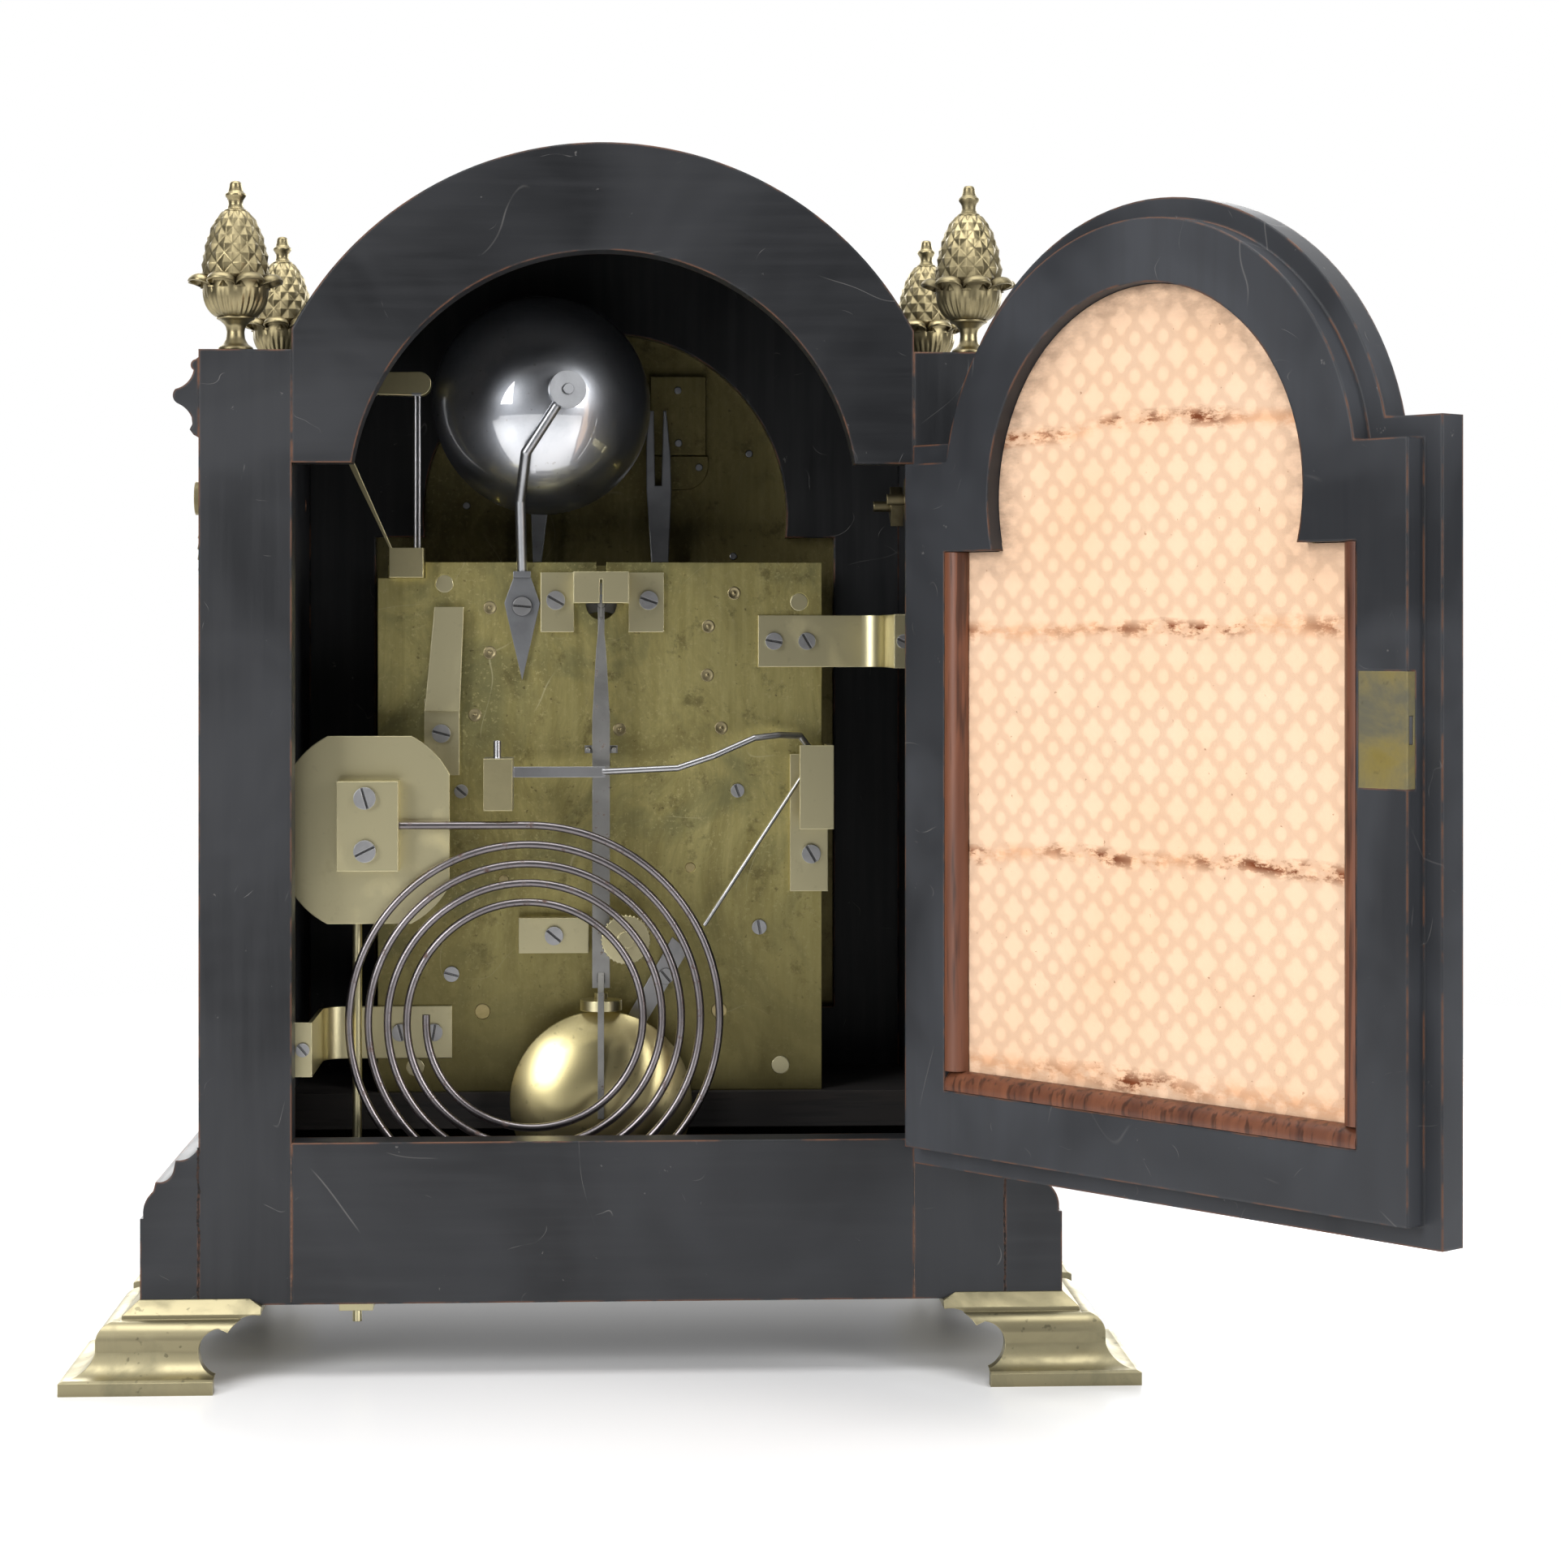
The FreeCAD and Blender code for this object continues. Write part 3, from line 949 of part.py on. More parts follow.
def gong_stand():
    z_mid = GONG_Z + GONG_R - 1.9
    block = box(GONG_BLOCK_X0, GONG_BLOCK_X1, at(GONG_DEPTH - 6), at(GONG_DEPTH + 4),
                GONG_Z + GONG_R - 17, GONG_Z + GONG_R + 17)
    save("gong_block", block)
    cx = (GONG_BLOCK_X0 + GONG_BLOCK_X1) / 2
    w = GONG_PLATE_HALF
    h = GONG_PLATE_HIGH
    c = 14.5
    q = c * 0.42
    path = [(cx - w + c, z_mid - h), (cx + w - c, z_mid - h),
            (cx + w - q, z_mid - h + q, cx + w, z_mid - h + c), (cx + w, z_mid + h - c),
            (cx + w - q, z_mid + h - q, cx + w - c, z_mid + h), (cx - w + c, z_mid + h),
            (cx - w + q, z_mid + h - q, cx - w, z_mid + h - c), (cx - w, z_mid - h + c),
            (cx - w + q, z_mid - h + q, cx - w + c, z_mid - h)]
    plate = slab(path, at(GONG_DEPTH + 4), at(GONG_DEPTH + 7))
    bar = rod((GONG_ROD_X, at(GONG_ROD_DEPTH), FOOT_H - 13.3),
              (GONG_ROD_X, at(GONG_ROD_DEPTH), z_mid), GONG_ROD_R)
    strap = box(GONG_ROD_X - 4, GONG_ROD_X + 4, at(GONG_DEPTH + 6.5), at(GONG_ROD_DEPTH + 1),
                z_mid - 12, z_mid + 4)
    washer = rod((GONG_ROD_X, at(GONG_ROD_DEPTH), FLOOR_TOP - FLOOR_T - 2),
                 (GONG_ROD_X, at(GONG_ROD_DEPTH), FLOOR_TOP - FLOOR_T), 9)
    nut = box(GONG_ROD_X - 6.4, GONG_ROD_X + 6.4, at(GONG_ROD_DEPTH) - 6.4,
              at(GONG_ROD_DEPTH) + 6.4, FOOT_H - 8.2, FLOOR_TOP - FLOOR_T - 2)
    save("gong_stand", plate.fuse(bar).fuse(strap).fuse(washer).fuse(nut).removeSplitter())


def bent_rod(points, radius):
    """A rod through points given as (x, depth, z), with rounded joints."""
    places = [Vector(x, at(d), z) for x, d, z in points]
    shape = None
    for a, b in zip(places, places[1:]):
        piece = Part.makeCylinder(radius, (b - a).Length, a, b - a)
        shape = piece if shape is None else shape.fuse(piece)
    for p in places[1:-1]:
        shape = shape.fuse(Part.makeSphere(radius, p))
    return shape


def bell_axis():
    turn = math.radians(BELL_TURN)
    tip = math.radians(BELL_TIP)
    return Vector(math.sin(turn), -math.cos(turn) * math.cos(tip), math.sin(tip))


def bell():
    centre = Vector(BELL_X, at(BELL_DEPTH), BELL_Z)
    axis = bell_axis()
    ball = Part.makeSphere(BELL_R, centre).cut(Part.makeSphere(BELL_R - BELL_WALL, centre))
    keep = Part.makeCylinder(BELL_R + 5, BELL_R + 5, centre, axis)
    shape = ball.common(keep)
    hole = Part.makeCylinder(BELL_STUD_R, 2 * BELL_R, centre, axis)
    save("bell", shape.cut(hole))
    crown = centre + axis * BELL_R
    foot = [(BELL_FOOT_X - 3, PLATE_TOP - 5), (BELL_FOOT_X - 7, PLATE_TOP - 16),
            (BELL_FOOT_X, PLATE_TOP - 46.3), (BELL_FOOT_X + 7, PLATE_TOP - 16),
            (BELL_FOOT_X + 3, PLATE_TOP - 5)]
    stand = slab(foot, at(PLATE_DEPTH - 2.5), at(PLATE_DEPTH))
    stand = stand.fuse(box(BELL_FOOT_X - 3.4, BELL_FOOT_X + 3.4, at(PLATE_DEPTH - 5.5),
                           at(PLATE_DEPTH), PLATE_TOP - 6, PLATE_TOP - 3.6))
    end = centre + axis * (BELL_R + 2.2)
    route = [(BELL_FOOT_X, PLATE_DEPTH - 3, PLATE_TOP - 5), (BELL_FOOT_X - 0.6, 62, BELL_Z - 39),
             (BELL_FOOT_X + 2, 50.5, BELL_Z - 21), (end.x, end.y - BACK, end.z)]
    stand = stand.fuse(bent_rod(route, 2.1))
    stand = stand.cut(Part.makeSphere(BELL_R + 0.02, centre))
    stud = Part.makeCylinder(BELL_STUD_R, 12, crown - axis * 6, axis)
    nut = Part.makeCylinder(7.3, 2.6, centre + axis * (BELL_R + 2.4), axis)
    under = Part.makeCylinder(5.0, 2.4, crown + axis * 0.05, axis)
    save("bell_stand", stand.fuse(stud).fuse(nut).fuse(under).removeSplitter())


def bell_hammer():
    x = PLATE_LEFT + 11.9
    z = PLATE_TOP - 0.5
    d0 = PLATE_DEPTH - 10
    shape = box(x - 6.8, x + 6.4, at(d0), at(PLATE_DEPTH - 0.3), z - 5.7, z + 5.9)
    shape = shape.fuse(box(x - 6.8, x + 5.6, at(d0), at(PLATE_DEPTH + 9), z - 2, z + 5.9))
    d = HAMMER_DEPTH
    strip = [(x - 6.8, z + 1), (x - 6.8, z + 4), (x - 23.2, z + 38), (x - 26, z + 55, x - 13, z + 75.5),
             (x - 10, z + 68), (x - 22.6, z + 53, x - 20.8, z + 38), (x - 5.4, z + 3)]
    shape = shape.fuse(slab(strip, at(d), at(d) + 3))
    head_x = BELL_X - BELL_R - 3.6
    head_z = BELL_Z + 7.2
    head = [(x - 14, z + 75.2), (x - 12, z + 66.5), (head_x, head_z - 4.7),
            (head_x + 4.7, head_z, head_x, head_z + 4.7)]
    shape = shape.fuse(slab(head, at(d) - 3, at(d) + 5))
    for s in (-1, 1):
        shape = shape.fuse(rod((x + 3 + s * 0.8, at(d) + 1.5, z + 5),
                               (x + 3 + s * 0.8, at(d) + 1.5, head_z - 3), 0.6))
    shape = shape.fuse(disc(x, z, 1.4, at(PLATE_DEPTH + 7), at(FRONT_PLATE_DEPTH) - 0.3))
    save("bell_hammer", shape.removeSplitter())


def gong_hammer():
    x = HAMMER_X
    z = HAMMER_Z
    d = HUB_DEPTH
    hub = disc(x, z, 3.5, at(d), at(d + 10))
    arm = bent_rod([(x - 1.5, d + 5, z + 2.5), (x - 6.2, d + 3, z + 8.6), (x - 14.7, d - 2, z + 9),
                    (x - 24.3, d - 5, z + 8), (x - 40, d - 8, z + 1.2), (x - 54, d - 9.5, z - 3.4),
                    (x - 83, d - 10, z - 4.8)], 1.3)
    tail = bent_rod([(x - 1.5, d + 6, z - 1.5), (x - 6.4, d + 6, z - 9), (x - 43.4, d + 7, z - 65.6)],
                    0.8)
    flat = box(x - 118, x - 82, at(d - 10.7), at(d - 9.3), z - 6.9, z - 2.8)
    head = box(x - 128, x - 117, at(GONG_DEPTH - 3), at(d - 9.3), GONG_Z + GONG_R + 5.6,
               GONG_Z + GONG_R + 25.4)
    pin = rod((x - 123, at(GONG_DEPTH + 6), GONG_Z + GONG_R + 25),
              (x - 123, at(GONG_DEPTH + 6), GONG_Z + GONG_R + 32), 1.5)
    shape = hub.fuse(arm).fuse(tail).fuse(flat).fuse(head).fuse(pin)
    shape = shape.cut(disc(x, z, HAMMER_PIN_R + PLAY, at(d - 1), at(d + 11)))
    save("gong_hammer", shape.removeSplitter())


def gong_hammer_cock():
    x = HAMMER_X
    z = HAMMER_Z
    d = HUB_DEPTH
    cock = box(x - 9.4, x + 5.6, at(PLATE_DEPTH - 3), at(PLATE_DEPTH), z - 53, z + 1)
    cock = cock.fuse(box(x + 4.2, x + 6.7, at(d - 4), at(PLATE_DEPTH), z - 27.5, z + 5))
    cock = cock.fuse(box(x - 6.6, x + 6.7, at(d - 4), at(d - 1.5), z - 27.5, z + 5))
    cock = cock.fuse(disc(x, z, HAMMER_PIN_R, at(d - 3), at(PLATE_DEPTH - 1)))
    return cock.removeSplitter()


def straps():
    """Two brass straps that run from the back plate to the inside of the stiles."""
    leg = STRAP_LEG_X
    t = STRAP_T
    bend = 10.0
    y0 = at(PLATE_DEPTH)
    y_leg = y0 - bend
    stile_y = at(FRAME_T)
    q = bend * math.sqrt(0.5)
    p = (bend - t) * math.sqrt(0.5)
    cx = leg - bend

    def outline(foot_x):
        return [(foot_x, y0), (cx, y0), (cx + q, y_leg + q, leg, y_leg), (leg, stile_y + t),
                (INNER, stile_y + t), (INNER, stile_y), (leg - t, stile_y), (leg - t, y_leg),
                (cx + p, y_leg + p, cx, y0 - t), (foot_x, y0 - t)]

    right = tile(outline(PLATE_RIGHT - 25.2), STRAP_HIGH_Z, STRAP_HIGH_Z + STRAP_W)
    left = mirrored(tile(outline(-PLATE_LEFT - 29), STRAP_LOW_Z, STRAP_LOW_Z + STRAP_W))
    save("movement_straps", right, left)


def detent_cock():
    """A tapered brass cock that stands off the back plate on its own foot."""
    x = PLATE_LEFT + 24.6
    y1 = at(PLATE_DEPTH)
    top = PLATE_TOP - 17.6
    blade = [(x - 2.2, top), (x + 9.3, top), (x + 7.7, top - 40.7), (x - 6.0, top - 40.7)]
    shape = slab(blade, y1 - 6.5, y1 - 4.8)
    shape = shape.fuse(box(x - 5.4, x + 7.2, y1 - 6.5, y1, top - 40.7, top - 36))
    shape = shape.fuse(box(x - 6.4, x + 7.4, y1 - 1.8, y1, top - 66, top - 36))
    return shape.removeSplitter()


def check_spring():
    """A small slanting steel spring under its own screw."""
    x = PLATE_RIGHT - CHECK_SPRING_IN
    strip = [(x + 2.5, 157), (x + 8.6, 151.5), (x - 9, 121.5), (x - 14.8, 126.5)]
    return slab(strip, at(PLATE_DEPTH) - 1.6, at(PLATE_DEPTH))


def screw(x, depth, z, radius, high, turn):
    """A cheese-headed screw seen from behind, its slot at an angle."""
    head = disc(x, z, radius, at(depth - high), at(depth))
    slot = box(x - radius - 1, x + radius + 1, at(depth - high) - 1, at(depth) - 0.5 * high,
               z - 0.45, z + 0.45)
    slot.rotate(Vector(x, 0, z), Vector(0, 1, 0), turn)
    return head.cut(slot)


def screws():
    plate = PLATE_DEPTH
    strap_z = STRAP_HIGH_Z + STRAP_W / 2
    low_z = STRAP_LOW_Z + STRAP_W / 2
    cock = plate - COCK_FOOT_T
    places = [(PLATE_RIGHT - 19, plate - STRAP_T, strap_z, 3.4, 2.0, 10),
              (PLATE_RIGHT - 6, plate - STRAP_T, strap_z, 3.4, 2.0, 60),
              (PLATE_LEFT + 9, plate - STRAP_T, low_z, 3.4, 2.0, 75),
              (PLATE_LEFT + 22, plate - STRAP_T, low_z, 3.4, 2.0, 100),
              (COCK_LEFT + 6, cock, PLATE_TOP - 15, 3.7, 2.2, 30),
              (COCK_RIGHT - 6, cock, PLATE_TOP - 15, 3.7, 2.2, 20),
              (BELL_FOOT_X, plate - 2.5, PLATE_TOP - 17.3, 3.7, 2.2, 5),
              (PLATE_LEFT + 24.9, plate - 1.8, PLATE_TOP - 67.2, 3.6, 2.0, 15),
              (HOLD_X0 + 13.8, HOLD_DEPTH, HOLD_Z, 3.6, 2.0, 40),
              (HAMMER_X - 1.1, plate - 3, HAMMER_Z - 38.2, 3.7, 2.2, 60),
              (PLATE_LEFT + 32.6, plate, 214.5, 2.7, 1.4, 40),
              (PLATE_RIGHT - 33.3, plate, 214.6, 2.7, 1.4, 70),
              (PLATE_LEFT + 28.8, plate, 142.8, 3.0, 1.4, 15),
              (PLATE_RIGHT - 24.7, plate, 160.8, 2.9, 1.4, 80),
              (PLATE_RIGHT - CHECK_SPRING_IN, plate - 1.6, 141.7, 3.0, 1.6, 50),
              (OPEN_HALF - 2.8, FRAME_T, strap_z, 2.6, 1.4, 25),
              (2.8 - OPEN_HALF, FRAME_T, low_z, 2.6, 1.4, 50)]
    shapes = [screw(*place) for place in places]
    block_x = (GONG_BLOCK_X0 + GONG_BLOCK_X1) / 2 - 0.9
    for dz in (-9.3, 10.7):
        shapes.append(screw(block_x, GONG_DEPTH - 6, GONG_Z + GONG_R + dz, 4.2, 2.4, 20 + 5 * dz))
    save("movement_screws", *shapes, check_spring())


rear_frame()
front_frame()
sides()
cornices()
bases()
feet()
finials()
boards()
hinges()
rear_door()
front_door()
handles()
dial()
plates()
train()
pendulum()
crutch()
cocks()
gong()
gong_stand()
bell()
bell_hammer()
gong_hammer()
straps()
screws()
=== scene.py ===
# %% [markdown]
# # An arched-top bracket clock with its rear door open
#
# The real object is a spring clock in a black case, about 46 cm high. We look at its back:
# the door is open, and the brass movement, the bell, the coiled gong and the pendulum show.
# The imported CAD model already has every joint, size and place. This lesson dresses it:
# it lights the clock like a studio photograph, gives each material its wear, and adds the
# cast, pierced and engraved detail that a plain solid can't carry.

import random
from math import atan2, cos, exp, hypot, pi, radians, sin, sqrt

import bmesh
import bpy
from mathutils import Matrix, Vector


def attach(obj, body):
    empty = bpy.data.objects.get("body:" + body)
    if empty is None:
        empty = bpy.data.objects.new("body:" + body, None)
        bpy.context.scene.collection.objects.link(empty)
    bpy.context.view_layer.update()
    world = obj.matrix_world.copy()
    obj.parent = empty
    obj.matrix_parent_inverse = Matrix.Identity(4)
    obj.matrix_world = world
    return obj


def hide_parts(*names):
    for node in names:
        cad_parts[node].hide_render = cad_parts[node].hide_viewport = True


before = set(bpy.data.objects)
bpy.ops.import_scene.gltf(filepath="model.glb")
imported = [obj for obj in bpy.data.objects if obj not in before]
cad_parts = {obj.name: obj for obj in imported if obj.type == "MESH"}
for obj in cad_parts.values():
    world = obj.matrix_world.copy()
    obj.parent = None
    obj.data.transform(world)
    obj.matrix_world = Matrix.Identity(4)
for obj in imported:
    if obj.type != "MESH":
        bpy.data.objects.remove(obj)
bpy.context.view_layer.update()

MM = 0.001
TURN = 2 * pi
CASE_BACK = -0.095

# %% [markdown]
# The photograph was taken from a little above the middle of the case with a long lens, and
# the camera was level. A level camera keeps upright edges upright, and the picture is moved
# up or down with the lens shift, just as a view camera does it.

# %% Camera
PHOTO_HIGH = 1932
FOCAL_PX = 4094.577
HORIZON_PX = 785.574
SENSOR_HIGH = 36.0
EYE = (0.00497, -1.33473, 0.27491)
LOOK_ASIDE = -0.049
view_data = bpy.data.cameras.new("photo_view")
view_data.sensor_fit = "VERTICAL"
view_data.sensor_height = SENSOR_HIGH
view_data.lens = FOCAL_PX * SENSOR_HIGH / PHOTO_HIGH
view_data.shift_y = (HORIZON_PX - PHOTO_HIGH / 2) / PHOTO_HIGH
view_data.clip_start = 0.05
view = bpy.data.objects.new("photo_view", view_data)
view.location = EYE
view.rotation_euler = (radians(90), 0, LOOK_ASIDE)
bpy.context.scene.collection.objects.link(view)
bpy.context.scene.camera = view
print("lens", round(view_data.lens, 2), "mm, shift", round(view_data.shift_y, 4))

# %% [markdown]
# Materials come first, because the floor needs one too. Each is a small graph of nodes.
# `Graph` only shortens the typing: it adds a node, sets its inputs and wires it up.

# %% A short way to write node graphs


class Graph:
    """One material's nodes. add() makes a node; a tuple (node, output) is a wire."""

    def __init__(self, name):
        self.material = bpy.data.materials.new(name)
        self.material.use_nodes = True
        self.nodes = self.material.node_tree.nodes
        self.links = self.material.node_tree.links
        self.shader = self.nodes["Principled BSDF"]

    def feed(self, socket, value):
        if isinstance(value, tuple) and hasattr(value[0], "outputs"):
            self.links.new(value[0].outputs[value[1]], socket)
        elif hasattr(value, "outputs"):
            self.links.new(value.outputs[0], socket)
        else:
            socket.default_value = value

    def add(self, kind, settings=None, **inputs):
        node = self.nodes.new("ShaderNode" + kind)
        for key, value in (settings or {}).items():
            setattr(node, key, value)
        for key, value in inputs.items():
            key = key.replace("_", " ")
            self.feed(node.inputs[int(key[1:]) if key[1:].isdigit() else key], value)
        return node

    def place(self, scale=(1, 1, 1), shift=(0, 0, 0)):
        """Position on the object, in metres, stretched so that grain can run one way."""
        spot = self.add("TexCoord")
        return self.add("Mapping", Vector=(spot, "Object"), Scale=scale, Location=shift)

    def noise(self, scale, where=None, detail=4.0, rough=0.55, bend=0.0):
        where = where or self.place()
        return self.add("TexNoise", Vector=where, Scale=scale, Detail=detail,
                        Roughness=rough, Distortion=bend)

    def ramp(self, value, stops, smooth=False):
        """Turns 0..1 into colours or greys; a stop is (place, grey or colour)."""
        node = self.add("ValToRGB", Fac=value)
        if smooth:
            node.color_ramp.interpolation = "EASE"
        marks = node.color_ramp.elements
        while len(marks) < len(stops):
            marks.new(0.5)
        for mark, (place, colour) in zip(marks, stops):
            mark.position = place
            if not hasattr(colour, "__len__"):
                colour = (colour, colour, colour)
            mark.color = (*colour, 1)
        return node

    def mix(self, share, first, second, how="MIX"):
        node = self.nodes.new("ShaderNodeMix")
        node.data_type = "RGBA"
        node.blend_type = how
        for index, value in ((0, share), (6, first), (7, second)):
            if hasattr(value, "__len__") and not hasattr(value[0], "outputs"):
                value = (*value, 1)
            self.feed(node.inputs[index], value)
        return (node, 2)

    def sum(self, how, first, second=0.0, third=0.0):
        node = self.add("Math", {"operation": how})
        for index, value in enumerate((first, second, third)):
            self.feed(node.inputs[index], value)
        return node

    def times(self, first, second):
        return self.sum("MULTIPLY", first, second)

    def remap(self, value, from_low, from_high, low=0.0, high=1.0):
        return self.add("MapRange", Value=value, From_Min=from_low, From_Max=from_high,
                        To_Min=low, To_Max=high)

    def round_off(self, radius, samples=6):
        """Normals as if each edge had this radius."""
        return self.add("Bevel", {"samples": samples}, Radius=radius)

    def hollows(self, distance, *stops):
        """A ramp over how deep a point lies in a hollow: 0 is deep, 1 is open."""
        shade = self.add("AmbientOcclusion", {"samples": 6}, Distance=distance)
        return self.ramp((shade, "AO"), stops)

    def bump(self, height, depth, strength=1.0, normal=None):
        node = self.add("Bump", Strength=strength, Distance=depth, Height=height)
        if normal:
            self.feed(node.inputs["Normal"], normal)
        return node

    def edges(self, radius):
        """Softened normals, and a mask that is 1 on edges and corners and 0 on flats."""
        soft = self.round_off(radius)
        flat = self.add("NewGeometry")
        turned = self.add("VectorMath", {"operation": "DOT_PRODUCT"})
        self.feed(turned.inputs[0], soft)
        self.feed(turned.inputs[1], (flat, "Normal"))
        return soft, self.remap((turned, "Value"), 0.985, 0.86)

    def finish(self, **inputs):
        for key, value in inputs.items():
            self.feed(self.shader.inputs[key.replace("_", " ")], value)
        return self.material

    def blend(self, share, other):
        """Shows the other shader in place of the main one, by this share."""
        both = self.add("MixShader", _0=share, _1=self.shader, _2=other)
        self.links.new(both.outputs[0], self.nodes["Material Output"].inputs["Surface"])
        return self.material


# %% [markdown]
# The studio is a white table that runs out into a white background. The table is a real
# lit surface, so it keeps the shadow; at its rim it fades into the white world.

# %% White table and white surroundings
bpy.context.scene.view_settings.view_transform = "Standard"
TABLE_R, FADE_FROM, FADE_TO = 1.5, 0.55, 1.3
TABLE_WHITE = (0.93, 0.93, 0.935, 1)
DAYLIGHT = 0.42


def white_table():
    graph = Graph("white_table")
    far = graph.add("VectorMath", {"operation": "LENGTH"})
    graph.feed(far.inputs[0], (graph.add("TexCoord"), "Object"))
    gone = graph.remap((far, "Value"), FADE_FROM, FADE_TO)
    graph.finish(Base_Color=TABLE_WHITE, Roughness=0.22, Specular_IOR_Level=0.35)
    graph.blend(gone, graph.add("BsdfTransparent"))
    bpy.ops.mesh.primitive_circle_add(vertices=96, radius=TABLE_R, fill_type="NGON")
    table = bpy.context.object
    table.name = "white_table"
    table.data.materials.append(graph.material)
    return table


def white_world(daylight):
    """White for the camera, for reflections and through glass; daylight for all else."""
    world = bpy.data.worlds.new("studio")
    world.use_nodes = True
    nodes, links = world.node_tree.nodes, world.node_tree.links
    ray = nodes.new("ShaderNodeLightPath")
    white = ray.outputs["Is Camera Ray"]
    for kind in ("Is Glossy Ray", "Is Transmission Ray"):
        either = nodes.new("ShaderNodeMath")
        either.operation = "MAXIMUM"
        links.new(white, either.inputs[0])
        links.new(ray.outputs[kind], either.inputs[1])
        white = either.outputs[0]
    level = nodes.new("ShaderNodeMapRange")
    level.inputs["To Min"].default_value = daylight
    level.inputs["To Max"].default_value = 1.0
    links.new(white, level.inputs["Value"])
    links.new(level.outputs[0], nodes["Background"].inputs["Strength"])
    nodes["Background"].inputs["Color"].default_value = (1, 1, 1, 1)
    bpy.context.scene.world = world


table = white_table()
white_world(DAYLIGHT)
print("table", table.name, "world daylight", DAYLIGHT)

# %% [markdown]
# Polished metal shows what stands round it. A studio photographer puts soft boxes beside
# the camera, and the dark room behind them makes the metal look like metal. The boxes are
# area lamps, and the dark room is a curved black card that only reflections see.

# %% Soft boxes and the dark room behind the camera
ROOM_R = 2.6
ROOM_STEPS = 24
ROOM_LEVELS = (-0.2, 1.2, 2.8)


def softbox(name, place, aim, wide, high, watts):
    lamp = bpy.data.lights.new(name, "AREA")
    lamp.shape = "RECTANGLE"
    lamp.size = wide
    lamp.size_y = high
    lamp.energy = watts
    holder = bpy.data.objects.new(name, lamp)
    holder.location = place
    holder.rotation_euler = (Vector(aim) - Vector(place)).to_track_quat("-Z", "Y").to_euler()
    bpy.context.scene.collection.objects.link(holder)
    return holder


def dark_room():
    graph = Graph("dark_room")
    graph.finish(Base_Color=(0.02, 0.02, 0.022, 1), Roughness=0.9)
    wall = bmesh.new()
    rows = []
    for step in range(ROOM_STEPS + 1):
        turn = radians(-200 + step * 220 / ROOM_STEPS)
        x, y = ROOM_R * cos(turn), ROOM_R * sin(turn)
        rows.append([wall.verts.new((x, y, z)) for z in ROOM_LEVELS])
    for left, right in zip(rows, rows[1:]):
        for k in range(len(ROOM_LEVELS) - 1):
            wall.faces.new((left[k], right[k], right[k + 1], left[k + 1]))
    mesh = bpy.data.meshes.new("dark_room")
    wall.to_mesh(mesh)
    mesh.materials.append(graph.material)
    card = bpy.data.objects.new("dark_room", mesh)
    bpy.context.scene.collection.objects.link(card)
    for ray in ("camera", "diffuse", "shadow", "transmission"):
        setattr(card, "visible_" + ray, False)
    return card


HEART = (0, 0, 0.24)
OPEN_DOOR = (0.22, -0.25, 0.22)
for name, place, aim, wide, high, watts in (
        ("left_box", (-1.25, -1.5, 0.85), HEART, 0.8, 1.1, 26),
        ("right_box", (1.35, -1.35, 0.75), HEART, 0.6, 1.1, 20),
        ("overhead_box", (0.0, -0.3, 1.9), HEART, 1.6, 1.2, 26),
        ("door_box", (0.9, 1.2, 0.6), OPEN_DOOR, 0.9, 0.9, 14),
        ("front_box", (-0.7, 1.6, 0.9), HEART, 0.9, 0.9, 14)):
    softbox(name, place, aim, wide, high, watts)
dark_room()

# %% [markdown]
# ## Finishes
#
# Ebonised wood is fruitwood or oak stained black and waxed. It isn't one flat black: the
# wax is dull in clouds, brush marks run along the grain, the corners have worn through to
# the orange-brown wood, and handling has left pale scratches. The rear door's stain and wax
# are given a paler tone. The wear is found with a bevel node, which turns normals near an
# edge, so it follows any edge of any piece.

# %% Ebonised wood


def hairlines(graph, scale, width, keep, where=None):
    """Thin wandering lines: the contour of a smooth noise, kept only here and there."""
    smooth = graph.noise(scale, where, detail=1.5, bend=0.4)
    near = graph.sum("ABSOLUTE", graph.sum("SUBTRACT", smooth, 0.5))
    line = graph.remap(near, 0.0, width, 1.0, 0.0)
    patch = graph.ramp(graph.noise(scale * 2.3, where, detail=2), [(keep, 0), (keep + 0.08, 1)])
    return graph.times(line, patch)


BLACK_STAIN = (0.0095, 0.0102, 0.0118)
DULL_WAX = (0.022, 0.0235, 0.027)
BRUSHED_WAX = (0.03, 0.031, 0.034)
BARE_WOOD = (0.17, 0.068, 0.030)
PALE_SCRATCH = (0.20, 0.19, 0.18)


